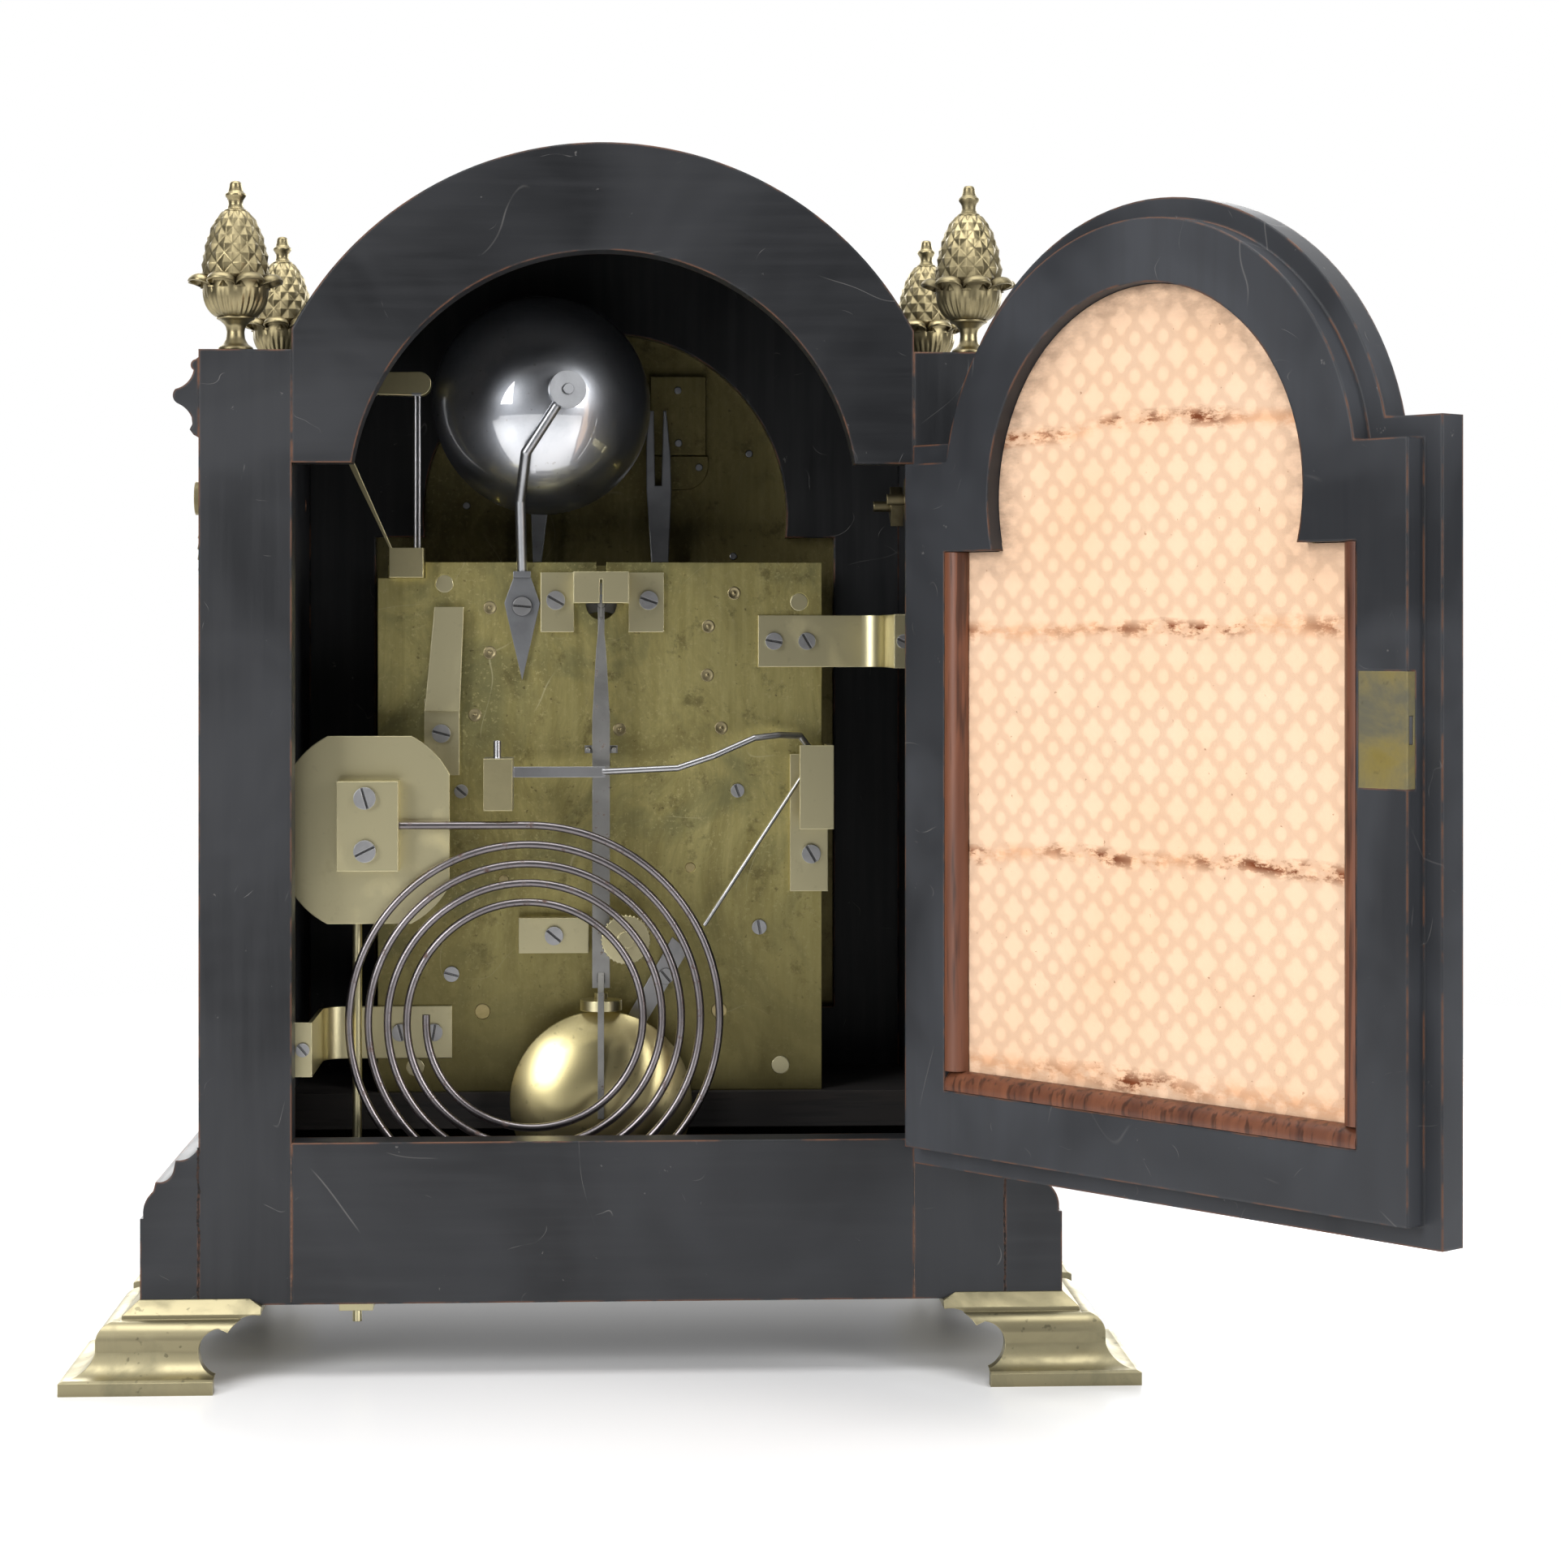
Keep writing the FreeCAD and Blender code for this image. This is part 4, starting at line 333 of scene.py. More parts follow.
def ebonised(name, grain, tone=1.0):
    graph = Graph(name)
    along = graph.place(scale=grain)
    brush = graph.noise(260, along, detail=5)
    cloud = graph.noise(11, detail=3, bend=0.6)
    black, dull = ([c * tone for c in wax] for wax in (BLACK_STAIN, DULL_WAX))
    colour = graph.ramp(cloud, [(0.36, black), (0.68, dull)])
    colour = graph.mix(graph.ramp(brush, [(0.42, 0), (0.75, 0.35)]), colour, BRUSHED_WAX)
    soft, edge = graph.edges(0.0014)
    chipped = graph.ramp(graph.noise(75, detail=6), [(0.44, 0), (0.56, 1)])
    worn = graph.times(edge, chipped)
    colour = graph.mix(worn, colour, BARE_WOOD)
    scratch = graph.sum("MAXIMUM", hairlines(graph, 9, 0.0016, 0.56),
                        hairlines(graph, 31, 0.0026, 0.60))
    nick = graph.ramp(graph.noise(150, detail=4, rough=0.7), [(0.70, 0), (0.74, 1)])
    scratch = graph.sum("MAXIMUM", scratch, nick)
    colour = graph.mix(graph.times(scratch, 0.4), colour, PALE_SCRATCH)
    gloss = graph.remap(cloud, 0.3, 0.7, 0.34, 0.5)
    relief = graph.sum("ADD", graph.times(brush, 0.5), graph.times(scratch, -0.8))
    return graph.finish(Base_Color=colour, Roughness=gloss, Specular_IOR_Level=0.38,
                        Normal=graph.bump(relief, 0.00012, 0.6, soft))


UPRIGHT = (1, 1, 0.06)
LEVEL = (0.06, 1, 1)
ebony_upright = ebonised("ebonised_upright", UPRIGHT)
ebony_level = ebonised("ebonised_level", LEVEL)
# A darker copy of the wood for the dial surround inside the case: painted shade.
ebony_painted_shade = ebonised("ebonised_painted_shade", UPRIGHT, tone=0.45)
# The rear door's stain and wax are given a paler tone.
ebony_door_paler = ebonised("ebonised_door", UPRIGHT, tone=2.1)
print("ebonised woods:", ebony_upright.name, ebony_level.name, ebony_painted_shade.name,
      ebony_door_paler.name)

# %% [markdown]
# The boards that nobody sees are stained dark but never waxed, so they are rough and brown.
# The beads that hold the silk are small mahogany strips, reddish, with open pores.

# %% Plain and mahogany wood


def raw_wood(name, pale, dark, grain, gloss):
    graph = Graph(name)
    along = graph.place(scale=grain)
    figure = graph.noise(70, along, detail=6, bend=0.8)
    pores = graph.ramp(graph.noise(420, along, detail=2), [(0.52, 1), (0.64, 0.45)])
    colour = graph.ramp(figure, [(0.3, dark), (0.7, pale)])
    colour = graph.mix(1.0, colour, pores, "MULTIPLY")
    soft, edge = graph.edges(0.0006)
    return graph.finish(Base_Color=graph.mix(graph.times(edge, 0.5), colour, pale),
                        Roughness=gloss, Normal=graph.bump(pores, 0.0001, 0.5, soft))


carcase = raw_wood("stained_carcase", (0.012, 0.008, 0.006), (0.004, 0.003, 0.003), LEVEL, 0.75)
mahogany = raw_wood("mahogany_bead", (0.20, 0.070, 0.032), (0.055, 0.017, 0.010), UPRIGHT, 0.42)
print("plain woods:", carcase.name, mahogany.name)

# %% [markdown]
# Brass is one metal in four states here: cast and chased with dark hollows (feet, finials,
# handles), rolled sheet gone olive under old lacquer and oil (the plates), bright sheet
# (straps, cocks, blocks), and spun brass (the bob). They share one recipe: a base colour,
# a tarnish that spreads in clouds and gathers in hollows, and fine marks of the file.

# %% Brass


def brass(name, bright, tarnished, amount, gloss, file_marks, hollows=0.0, grain=(1, 1, 1),
          freckles=0.3):
    graph = Graph(name)
    cloud = graph.noise(30, detail=6, rough=0.6, bend=0.5)
    spread = graph.ramp(cloud, [(0.62 - amount * 0.35, 0), (0.80 - amount * 0.25, 1)])
    colour = graph.mix(spread, bright, tarnished)
    fine = graph.noise(900, graph.place(scale=grain), detail=3)
    freckle = graph.ramp(graph.noise(240, detail=2), [(0.66, 0), (0.72, 1)])
    colour = graph.mix(graph.times(freckle, freckles), colour,
                       [c * 0.35 for c in tarnished])
    if hollows:
        dirt = graph.hollows(0.004, (0.35, 1), (0.85, 0))
        colour = graph.mix(graph.times(dirt, hollows), colour, (0.045, 0.028, 0.012))
        rubbed = graph.times(graph.edges(0.0007)[1], hollows * 0.7)
        colour = graph.mix(rubbed, colour, [min(1.0, c * 1.7) for c in bright])
    rough = graph.remap(spread, 0.0, 1.0, gloss, min(1.0, gloss + 0.22))
    soft = graph.round_off(0.0005)
    relief = graph.sum("ADD", graph.times(fine, file_marks), graph.times(cloud, 0.4))
    return graph.finish(Base_Color=colour, Metallic=1.0, Roughness=rough,
                        Normal=graph.bump(relief, 0.00006, 0.5, soft))


cast_brass = brass("cast_brass", (0.315, 0.265, 0.148), (0.185, 0.158, 0.092), 0.5, 0.36, 0.5,
                   0.85)
foot_brass = brass("foot_brass", (0.345, 0.305, 0.185), (0.235, 0.215, 0.135), 0.5, 0.40, 0.4,
                   0.35, freckles=0.55)
bright_brass = brass("bright_brass", (0.66, 0.60, 0.37), (0.50, 0.44, 0.245), 0.2, 0.34, 0.5,
                     0.0, (1, 1, 0.08), freckles=0.08)
wheel_brass = brass("wheel_brass", (0.62, 0.51, 0.26), (0.36, 0.29, 0.12), 0.4, 0.30, 0.6, 0.5)
lock_brass = brass("lock_brass", (0.42, 0.33, 0.105), (0.185, 0.175, 0.125), 0.85, 0.42, 0.5)
spun_brass = brass("spun_brass", (0.60, 0.52, 0.27), (0.42, 0.35, 0.16), 0.3, 0.30, 0.25)
print("brasses:", [m.name for m in (cast_brass, foot_brass, bright_brass, wheel_brass,
                                    spun_brass)])

# %% [markdown]
# The two big plates are rolled sheet. Old lacquer and oil have turned them olive, darker in
# drips that run downwards, and a cloth has left bright wiped streaks. So the tarnish noise
# is stretched upright, a second, finer one draws the wiping marks, and the height above the
# table makes the plates darker towards the foot.

# %% Plate brass


OLD_LACQUER = (0.53, 0.46, 0.180)
WIPED_BRASS = (0.63, 0.555, 0.235)
OIL_DRIP = (0.26, 0.22, 0.085)
VERDIGRIS = (0.17, 0.18, 0.095)
OIL_BLOT = (0.14, 0.115, 0.05)
BRIGHT_SPECK = (0.70, 0.62, 0.30)
FRECKLE = (0.085, 0.06, 0.03)
BRIGHT_SCRATCH = (0.78, 0.72, 0.44)
PLATE_FOOT_DARKER = (0.17, 0.145, 0.06)
BROWN_LACQUER = (0.085, 0.058, 0.028)


def plate_brass(name, tone=1.0, browned=0.0):
    graph = Graph(name)
    drips = graph.noise(30, graph.place(scale=(1, 1, 0.5)), detail=8, rough=0.72, bend=0.9)
    wiped = graph.noise(420, graph.place(scale=(1, 1, 0.07)), detail=5, rough=0.65)
    speckle = graph.noise(700, detail=3, rough=0.7)
    level = graph.add("SeparateXYZ", Vector=graph.place())
    colour = OLD_LACQUER
    for share, tint in (
            (graph.ramp(wiped, [(0.36, 0), (0.66, 1)]), WIPED_BRASS),
            (graph.ramp(drips, [(0.44, 0), (0.62, 0.75)]), OIL_DRIP),
            (graph.ramp(graph.noise(17, detail=6, bend=1.2), [(0.50, 0), (0.64, 0.55)]),
             VERDIGRIS),
            (graph.ramp(graph.noise(75, detail=8, rough=0.75), [(0.56, 0), (0.66, 0.6)]),
             OIL_BLOT),
            (graph.ramp(speckle, [(0.57, 0), (0.68, 0.55)]), BRIGHT_SPECK),
            (graph.ramp(graph.noise(420, detail=3), [(0.67, 0), (0.74, 0.6)]), FRECKLE),
            (graph.times(hairlines(graph, 16, 0.0018, 0.50), 0.55), BRIGHT_SCRATCH),
            # Darker towards the foot of the plates, set by height alone.
            (graph.remap((level, "Z"), 0.12, 0.20, 0.85, 0.0), PLATE_FOOT_DARKER),
            (browned, BROWN_LACQUER)):
        colour = graph.mix(share, colour, tint)
    colour = graph.mix(1.0, colour, (tone, tone, tone), "MULTIPLY")
    rough = graph.remap(drips, 0.3, 0.75, 0.30, 0.46)
    soft = graph.round_off(0.0004)
    relief = graph.sum("ADD", graph.times(wiped, 0.6), graph.times(drips, 0.5))
    return graph.finish(Base_Color=colour, Metallic=1.0, Roughness=rough,
                        Normal=graph.bump(relief, 0.00008, 0.45, soft))


sheet_brass = plate_brass("plate_brass")
dull_plate = plate_brass("back_of_dial", 0.8, 0.5)
print("plates:", sheet_brass.name, dull_plate.name)

# %% [markdown]
# Steel is polished and then left to age: a few rust freckles on the pendulum rod and the
# screws, a brown skin on the gong wire, a dark blue on the hands. The bell is white bell
# metal: a mirror polish that handling has hazed. So its metal is rough and gives a soft glow,
# and a strong clear coat on top of it gives the sharp reflections.

# %% Steel, bell metal and silvering


def steel(name, base, rust, rusted, gloss, grain=(1, 1, 1)):
    graph = Graph(name)
    cloud = graph.noise(60, detail=5, bend=0.5)
    brushed = graph.noise(1200, graph.place(scale=grain), detail=2)
    colour = graph.mix(graph.ramp(cloud, [(0.35, 0), (0.7, 1)]), base, [c * 0.72 for c in base])
    spots = graph.ramp(graph.noise(280, detail=5, rough=0.7),
                       [(0.70 - rusted * 0.22, 0), (0.78 - rusted * 0.18, 1)])
    colour = graph.mix(graph.times(spots, min(1.0, 0.4 + rusted)), colour, rust)
    rough = graph.remap(spots, 0.0, 1.0, gloss, min(1.0, gloss + 0.3))
    # Hollows such as screw slots are darkened to near black: painted shade.
    colour = graph.mix(graph.hollows(0.0011, (0.45, 0.9), (0.80, 0)), colour,
                       (0.012, 0.010, 0.009))
    soft = graph.round_off(0.0003, 4)
    return graph.finish(Base_Color=colour, Metallic=1.0, Roughness=rough,
                        Normal=graph.bump(brushed, 0.00004, 0.5, soft))


def bell_polish():
    graph = Graph("bell_metal")
    haze = graph.noise(22, detail=6, rough=0.7, bend=0.8)
    pits = graph.ramp(graph.noise(340, detail=3), [(0.68, 0), (0.73, 1)])
    colour = graph.mix(graph.ramp(haze, [(0.45, 0), (0.75, 1)]), (0.60, 0.62, 0.66),
                       (0.38, 0.41, 0.47))
    colour = graph.mix(graph.times(pits, 0.4), colour, (0.20, 0.16, 0.14))
    rough = graph.remap(haze, 0.3, 0.8, 0.30, 0.46)
    return graph.finish(Base_Color=colour, Metallic=1.0, Roughness=rough, Coat_Weight=1.0,
                        Coat_IOR=2.9, Coat_Roughness=0.03, Normal=graph.bump(pits, 0.00002, 0.4))


rust_brown = (0.11, 0.055, 0.03)
plain_steel = steel("plain_steel", (0.56, 0.56, 0.57), rust_brown, 0.03, 0.34)
foot_steel = steel("foot_steel", (0.44, 0.45, 0.47), rust_brown, 0.05, 0.34)
rod_steel = steel("rod_steel", (0.40, 0.395, 0.38), rust_brown, 0.38, 0.36, (1, 1, 0.1))
gong_steel = steel("gong_wire", (0.235, 0.215, 0.222), (0.13, 0.085, 0.072), 0.55, 0.30)
blued = steel("blued_steel", (0.035, 0.055, 0.15), (0.02, 0.02, 0.03), 0.1, 0.2)
silvered = steel("silvered_brass", (0.78, 0.77, 0.73), (0.45, 0.41, 0.33), 0.25, 0.42)
bell_metal = bell_polish()
print("steels:", [m.name for m in (plain_steel, foot_steel, rod_steel, gong_steel, blued,
                                   silvered, bell_metal)])

# %% [markdown]
# Each hammer is one assembly of brass and steel. Its mesh stays whole, so one material
# holds both metals, and the place on the piece says which is which: the striking lever has
# a brass head between two upright planes, the bell hammer has steel wires between others.

# %% Hammers of brass and steel


def two_metals(name, x_from, x_to, z_from, z_to, inside, outside):
    """Metal `inside` within an upright box seen from behind, metal `outside` elsewhere."""
    graph = Graph(name)
    here = graph.add("SeparateXYZ", Vector=(graph.add("TexCoord"), "Object"))
    mask = None
    for axis, low, high in (("X", x_from, x_to), ("Z", z_from, z_to)):
        above = graph.sum("GREATER_THAN", (here, axis), low)
        below = graph.sum("LESS_THAN", (here, axis), high)
        both = graph.times(above, below)
        mask = both if mask is None else graph.times(mask, both)
    cloud = graph.ramp(graph.noise(60, detail=5), [(0.35, 1.0), (0.7, 0.8)])
    colour = graph.mix(1.0, graph.mix(mask, outside, inside), cloud, "MULTIPLY")
    fine = graph.noise(900, detail=3)
    rough = graph.remap(cloud, 0.0, 1.0, 0.42, 0.3)
    soft = graph.round_off(0.0004)
    return graph.finish(Base_Color=colour, Metallic=1.0, Roughness=rough,
                        Normal=graph.bump(fine, 0.00004, 0.5, soft))


HAMMER_STEEL = (0.50, 0.50, 0.51)
HAMMER_BRASS = (0.64, 0.57, 0.33)
GONG_HEAD = (-0.0460, -0.0348, 0.2, 0.2290)
BELL_WIRES = (-0.0758, -0.0722, 0.3099, 0.3712)
gong_hammer_metals = two_metals("gong_hammer_metals", *GONG_HEAD, HAMMER_BRASS, HAMMER_STEEL)
bell_hammer_metals = two_metals("bell_hammer_metals", *BELL_WIRES, HAMMER_STEEL, HAMMER_BRASS)
print("hammers:", gong_hammer_metals.name, bell_hammer_metals.name)

# %% [markdown]
# The glass of the front door is a thin clear pane with a trace of green at its edge.

# %% Clear glass


def clear_glass():
    graph = Graph("door_glass")
    ripple = graph.noise(7, detail=1)
    return graph.finish(Base_Color=(0.96, 0.985, 0.975, 1), Roughness=0.015, IOR=1.5,
                        Transmission_Weight=1.0, Normal=graph.bump(ripple, 0.0004, 0.15))


pane_glass = clear_glass()
print("glass:", pane_glass.name)

# %% [markdown]
# ## Dressing the CAD pieces
#
# A CAD piece whose shape is already right keeps its mesh and only gets its finish. The
# square wooden edges get a small bevel, because no joiner leaves them sharp and a rounded
# edge catches the light.

# %% Give each carried-over piece its finish
FINISHES = {
    ebony_upright: ("rear_left_stile", "rear_right_stile", "front_stiles", "front_door_frame",
                    "left_side_panel", "right_side_panel"),
    ebony_door_paler: ("rear_door_frame",),
    ebony_level: ("rear_arch_rail", "rear_bottom_rail", "front_rails", "top_boards",
                  "cornice_mouldings", "base_mouldings"),
    carcase: ("base_board", "seat_board"),
    # The dial surround gets the darker copy of the wood: painted shade.
    ebony_painted_shade: ("dial_surround",),
    mahogany: ("rear_door_beads",),
    cast_brass: ("finials", "handle_fittings", "left_handle", "right_handle", "door_hinges",
                 "front_door_hinges"),
    lock_brass: ("rear_door_fittings",),
    foot_brass: ("front_left_foot", "front_right_foot", "rear_left_foot", "rear_right_foot"),
    sheet_brass: ("back_plate", "front_plate", "rear_door_fret"),
    dull_plate: ("dial_plate",),
    wheel_brass: ("going_fusee", "strike_fusee", "going_barrel", "strike_barrel",
                  "centre_wheel"),
    bright_brass: ("back_plate_cocks", "movement_straps", "gong_block", "gong_stand",
                   "holdfast_screw", "rating_nut", "pillars"),
    gong_hammer_metals: ("gong_hammer",),
    bell_hammer_metals: ("bell_hammer",),
    spun_brass: ("pendulum_bob",),
    plain_steel: ("movement_screws", "rear_lock_bolt"),
    foot_steel: ("bell_stand",),
    rod_steel: ("pendulum_rod", "crutch_and_pallets"),
    gong_steel: ("gong",),
    bell_metal: ("bell",),
    blued: ("minute_hand", "hour_hand", "strike_hand"),
    silvered: ("chapter_ring",),
    pane_glass: ("front_door_glass",),
}
UNBEVELLED = ("left_side_panel", "right_side_panel")
SOFT_EDGE = 0.0006


def dress(node, material):
    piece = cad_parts[node]
    for slot in piece.material_slots:
        slot.material = material
    return piece


def soften(piece, width):
    edge = piece.modifiers.new("soft_edge", "BEVEL")
    edge.width = width
    edge.segments = 2
    edge.limit_method = "ANGLE"
    edge.angle_limit = radians(50)


for finish, names in FINISHES.items():
    for name in names:
        dress(name, finish)
for finish in (ebony_upright, ebony_door_paler, ebony_level):
    for name in FINISHES[finish]:
        if name not in UNBEVELLED:
            soften(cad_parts[name], SOFT_EDGE)
dressed = {name for names in FINISHES.values() for name in names}
print("dressed", len(dressed), "left bare:", sorted(set(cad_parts) - dressed))

# %% [markdown]
# ## Helpers for the pieces that are built here
#
# Most turned and cast parts are surfaces of revolution or grids, so two helpers make them.
# `grid` joins rows of points into faces; `lathe` turns a profile about an upright line.

# %% Mesh helpers


def new_piece(name, work, material, slot, *stands_for, body="case", smooth=35, swing=None):
    """Turns finished work into a mesh piece with its finish, and lets it ride on a body."""
    bmesh.ops.remove_doubles(work, verts=work.verts, dist=1e-6)
    bmesh.ops.recalc_face_normals(work, faces=work.faces)
    mesh = bpy.data.meshes.new(name)
    work.to_mesh(mesh)
    work.free()
    if swing:
        mesh.transform(swing)
    mesh.materials.append(material)
    for face in mesh.polygons:
        face.use_smooth = True
    mesh.set_sharp_from_angle(angle=radians(smooth))
    piece = bpy.data.objects.new(name, mesh)
    bpy.context.scene.collection.objects.link(piece)
    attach(piece, body)
    if stands_for:
        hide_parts(*stands_for)
    return piece


def ring(count):
    """Cosine and sine of even steps round a circle."""
    return [(cos(TURN * i / count), sin(TURN * i / count)) for i in range(count)]


def grid(work, rows, around=False):
    """Faces between rows of points; around=True also joins each row's end to its start."""
    verts = [[work.verts.new(p) for p in row] for row in rows]
    for low, high in zip(verts, verts[1:]):
        count = len(low)
        for i in range(count if around else count - 1):
            j = (i + 1) % count
            work.faces.new((low[i], low[j], high[j], high[i]))
    return verts


def lathe(work, profile, x, y, z, turns=48):
    """Turns (radius, height) pairs, in metres, about an upright line through (x, y)."""
    rows = []
    for radius, height in profile:
        radius = max(radius, 1e-5)
        rows.append([(x + radius * c, y + radius * s, z + height) for c, s in ring(turns)])
    grid(work, rows, around=True)


def rounded(points, steps=4, share=0.3):
    """Cuts each inner corner of a profile with a small curve, so that it catches light."""
    path = [Vector((*p, 0)) for p in points]
    smooth = [path[0]]
    for before, here, after in zip(path, path[1:], path[2:]):
        a = here.lerp(before, share)
        b = here.lerp(after, share)
        for i in range(steps + 1):
            t = i / steps
            smooth.append(a.lerp(here, t).lerp(here.lerp(b, t), t))
    smooth.append(path[-1])
    return [(p.x, p.y) for p in smooth]


# %% [markdown]
# ## Pineapple finials
#
# Each finial is cast and chased: a turned foot, a cup of eight fluted petals whose tips
# curl over, a cone of diamond scales, and a turned knob. The scales are not modelled one by
# one. The cone is a fine grid, and one rule lifts each point: how far it is from the two
# families of slanting grooves. That gives crisp four-sided pyramids that shrink upwards.

# %% Finials
SHOULDER = 0.3818
FINIAL_X = 0.1373
FINIAL_Y = 0.0865
PETALS = 8
FLUTES = 4
SCALES_ROUND = 12
SCALE_ROWS = 4
POINTS_EACH = 16
CUP_STEPS = 30
CURL_FROM = 0.62
FINIAL_SPOTS = [(sx * FINIAL_X, sy * FINIAL_Y) for sx in (-1, 1) for sy in (-1, 1)]


STEM = ((0, 0), (6.6, 0), (6.5, 1.3), (4.7, 2.4), (3.5, 4.6), (3.25, 7.2), (3.8, 9.4),
        (5.6, 11.2), (7.1, 11.9), (7.1, 12.6), (6.2, 13.0))
KNOB = ((3.4, 51.4), (4.3, 51.8), (4.3, 52.5), (3.2, 53.0), (2.6, 54.6), (2.8, 56.2),
        (3.9, 57.8), (3.9, 58.5), (2.9, 59.3), (2.4, 61.0), (2.2, 62.6), (1.5, 63.3), (0, 63.4))


def petal_cup(share_round, s):
    """Radius and height of the petal cup; s runs from the stem (0) to the curled tip (1)."""
    part = (share_round * PETALS) % 1 * 2 - 1
    tip = sqrt(max(0.0, 1 - abs(part) ** 2.6))
    wall = min(1.0, s / CURL_FROM)
    radius = 6.2 + 5.9 * sin(wall * pi / 2) ** 0.8
    height = 12.8 + (10.4 + 1.5 * tip) * wall ** 1.25
    flute = 0.5 + 0.5 * cos(TURN * FLUTES * (part + 1) / 2)
    radius += 0.55 * flute * sin(pi * min(1.0, wall + 0.12)) - 0.5 * abs(part) ** 6
    if s > CURL_FROM:
        over = (s - CURL_FROM) / 0.38 * radians(165)
        reach = 3.0 * tip
        radius += reach * (1 - cos(over))
        height += 1.15 * reach * sin(over) * 0.9
    return radius * MM, height * MM


def cone_point(share):
    """Radius and height of the smooth cone under its scales, bottom to top."""
    height = 23.0 + 29.0 * share ** 0.86
    radius = 4.0 + 7.9 * (1 - share ** 2.1) ** 0.72
    return radius, height


def cone_scales(share_round, share):
    """Radius and height of the cone with its scales; both shares run from 0 to 1."""
    radius, height = cone_point(share)
    u, v = share_round * SCALES_ROUND, share * SCALE_ROWS
    groove = max(abs((u + v) % 1 - 0.5), abs((u - v) % 1 - 0.5)) * 2
    return (radius + 1.25 * (1 - groove) * (1.0 - 0.45 * share)) * MM, height * MM


def chased(work, x, y, turn, around, steps, shape):
    """A closed grid about (x, y); shape(share round, share up) gives radius and height."""
    rows = []
    for step in range(steps + 1):
        row = []
        for i in range(around):
            radius, height = shape(i / around, step / steps)
            angle = TURN * i / around + turn
            row.append((x + radius * cos(angle), y + radius * sin(angle), SHOULDER + height))
        rows.append(row)
    grid(work, rows, around=True)


stems, cups, cones = bmesh.new(), bmesh.new(), bmesh.new()
for number, (fx, fy) in enumerate(FINIAL_SPOTS):
    for profile in (STEM, KNOB):
        lathe(stems, [(r * MM, h * MM) for r, h in rounded(profile)], fx, fy, SHOULDER)
    chased(cups, fx, fy, 0.11 + number * 0.2, PETALS * POINTS_EACH, CUP_STEPS, petal_cup)
    chased(cones, fx, fy, 0.3 * number, SCALES_ROUND * POINTS_EACH, SCALE_ROWS * POINTS_EACH,
           cone_scales)
new_piece("finial_stems", stems, cast_brass, "cast_brass", "finials")
finial_cups = new_piece("finial_cups", cups, cast_brass, "cast_brass")
finial_cones = new_piece("finial_cones", cones, cast_brass, "cast_brass", smooth=18)
lip = finial_cups.modifiers.new("petal_thickness", "SOLIDIFY")
lip.thickness = 0.0008
lip.offset = 0.0
print("finial cone faces:", len(finial_cones.data.polygons))

# %% [markdown]
# ## The rear door's light
#
# The open door lets the bell be heard: a brass plate pierced with a traditional pattern of
# rounds and quatrefoils is backed with thin silk. Light comes through the holes and glows
# in the silk, so the pattern shows as a faint grey net from the inside. It is real here:
# a pierced plate with the silk a hair in front of it.
#
# Door pieces are drawn as if the door were shut, in (x, z), and then swung open with it.

# %% The door's swing and the outline of its light
DOOR_PIN = Vector((0.1196, -0.103, 0))
DOOR_SWING = radians(129)
LIGHT_HALF = 0.0936
LIGHT_LOW = 0.1108
LIGHT_SPRING = 0.3057
LIGHT_R = 0.0717
LIGHT_Z = 0.3244
FRET_BACK = -0.0940
FRET_FACE = -0.0930
SILK_FACE = -0.0927
door_open = (Matrix.Translation(DOOR_PIN) @ Matrix.Rotation(DOOR_SWING, 4, "Z")
             @ Matrix.Translation(-DOOR_PIN))


def keep_in_light(x, z, margin=0.0):
    """Moves a point onto the light's outline if it lies outside; says whether it moved."""
    half, radius = LIGHT_HALF - margin, LIGHT_R - margin
    low, spring = LIGHT_LOW + margin, LIGHT_SPRING - margin
    if low <= z <= spring and abs(x) <= half:
        return x, z, False
    away = hypot(x, z - LIGHT_Z)
    if z >= spring and away <= radius:
        return x, z, False
    if z > spring:
        in_arch = (x * radius / away, max(LIGHT_Z + (z - LIGHT_Z) * radius / away, spring))
        in_box = (max(-half, min(half, x)), spring)
        gap_arch = hypot(in_arch[0] - x, in_arch[1] - z)
        gap_box = hypot(in_box[0] - x, in_box[1] - z)
        best = in_arch if gap_arch < gap_box else in_box
        return best[0], best[1], True
    return max(-half, min(half, x)), max(low, min(spring, z)), True


print("light of the door:", round(2 * LIGHT_HALF, 4), "wide")

# %% [markdown]
# One tile of the pattern has a quatrefoil in the middle and a quarter of a round hole at
# each corner. Filling between the two outlines gives the metal, and copies of it, shifted
# by one pitch, make the plate.

# %% Pierced brass plate
PITCH = 0.0129
ROUND_R = 0.0026
FOIL_REACH = 0.0050
FOIL_LOBE_R = 0.0021


def quatrefoil(steps=7):
    """Four rounded lobes, joined by small inward corners."""
    points = []
    for quarter in range(4):
        turn = quarter * pi / 2
        lobe = FOIL_REACH - FOIL_LOBE_R
        for i in range(steps):
            a = turn - pi / 2 + pi * i / (steps - 1)
            points.append((lobe * cos(turn) + FOIL_LOBE_R * cos(a),
                           lobe * sin(turn) + FOIL_LOBE_R * sin(a)))
    return points


def tile_outline(steps=5):
    points = []
    half = PITCH / 2
    for corner, (sx, sz) in enumerate(((1, 1), (-1, 1), (-1, -1), (1, -1))):
        for i in range(steps):
            a = pi * (1.5 + corner * 0.5) - (pi / 2) * i / (steps - 1)
            points.append((sx * half + ROUND_R * cos(a), sz * half + ROUND_R * sin(a)))
    return points


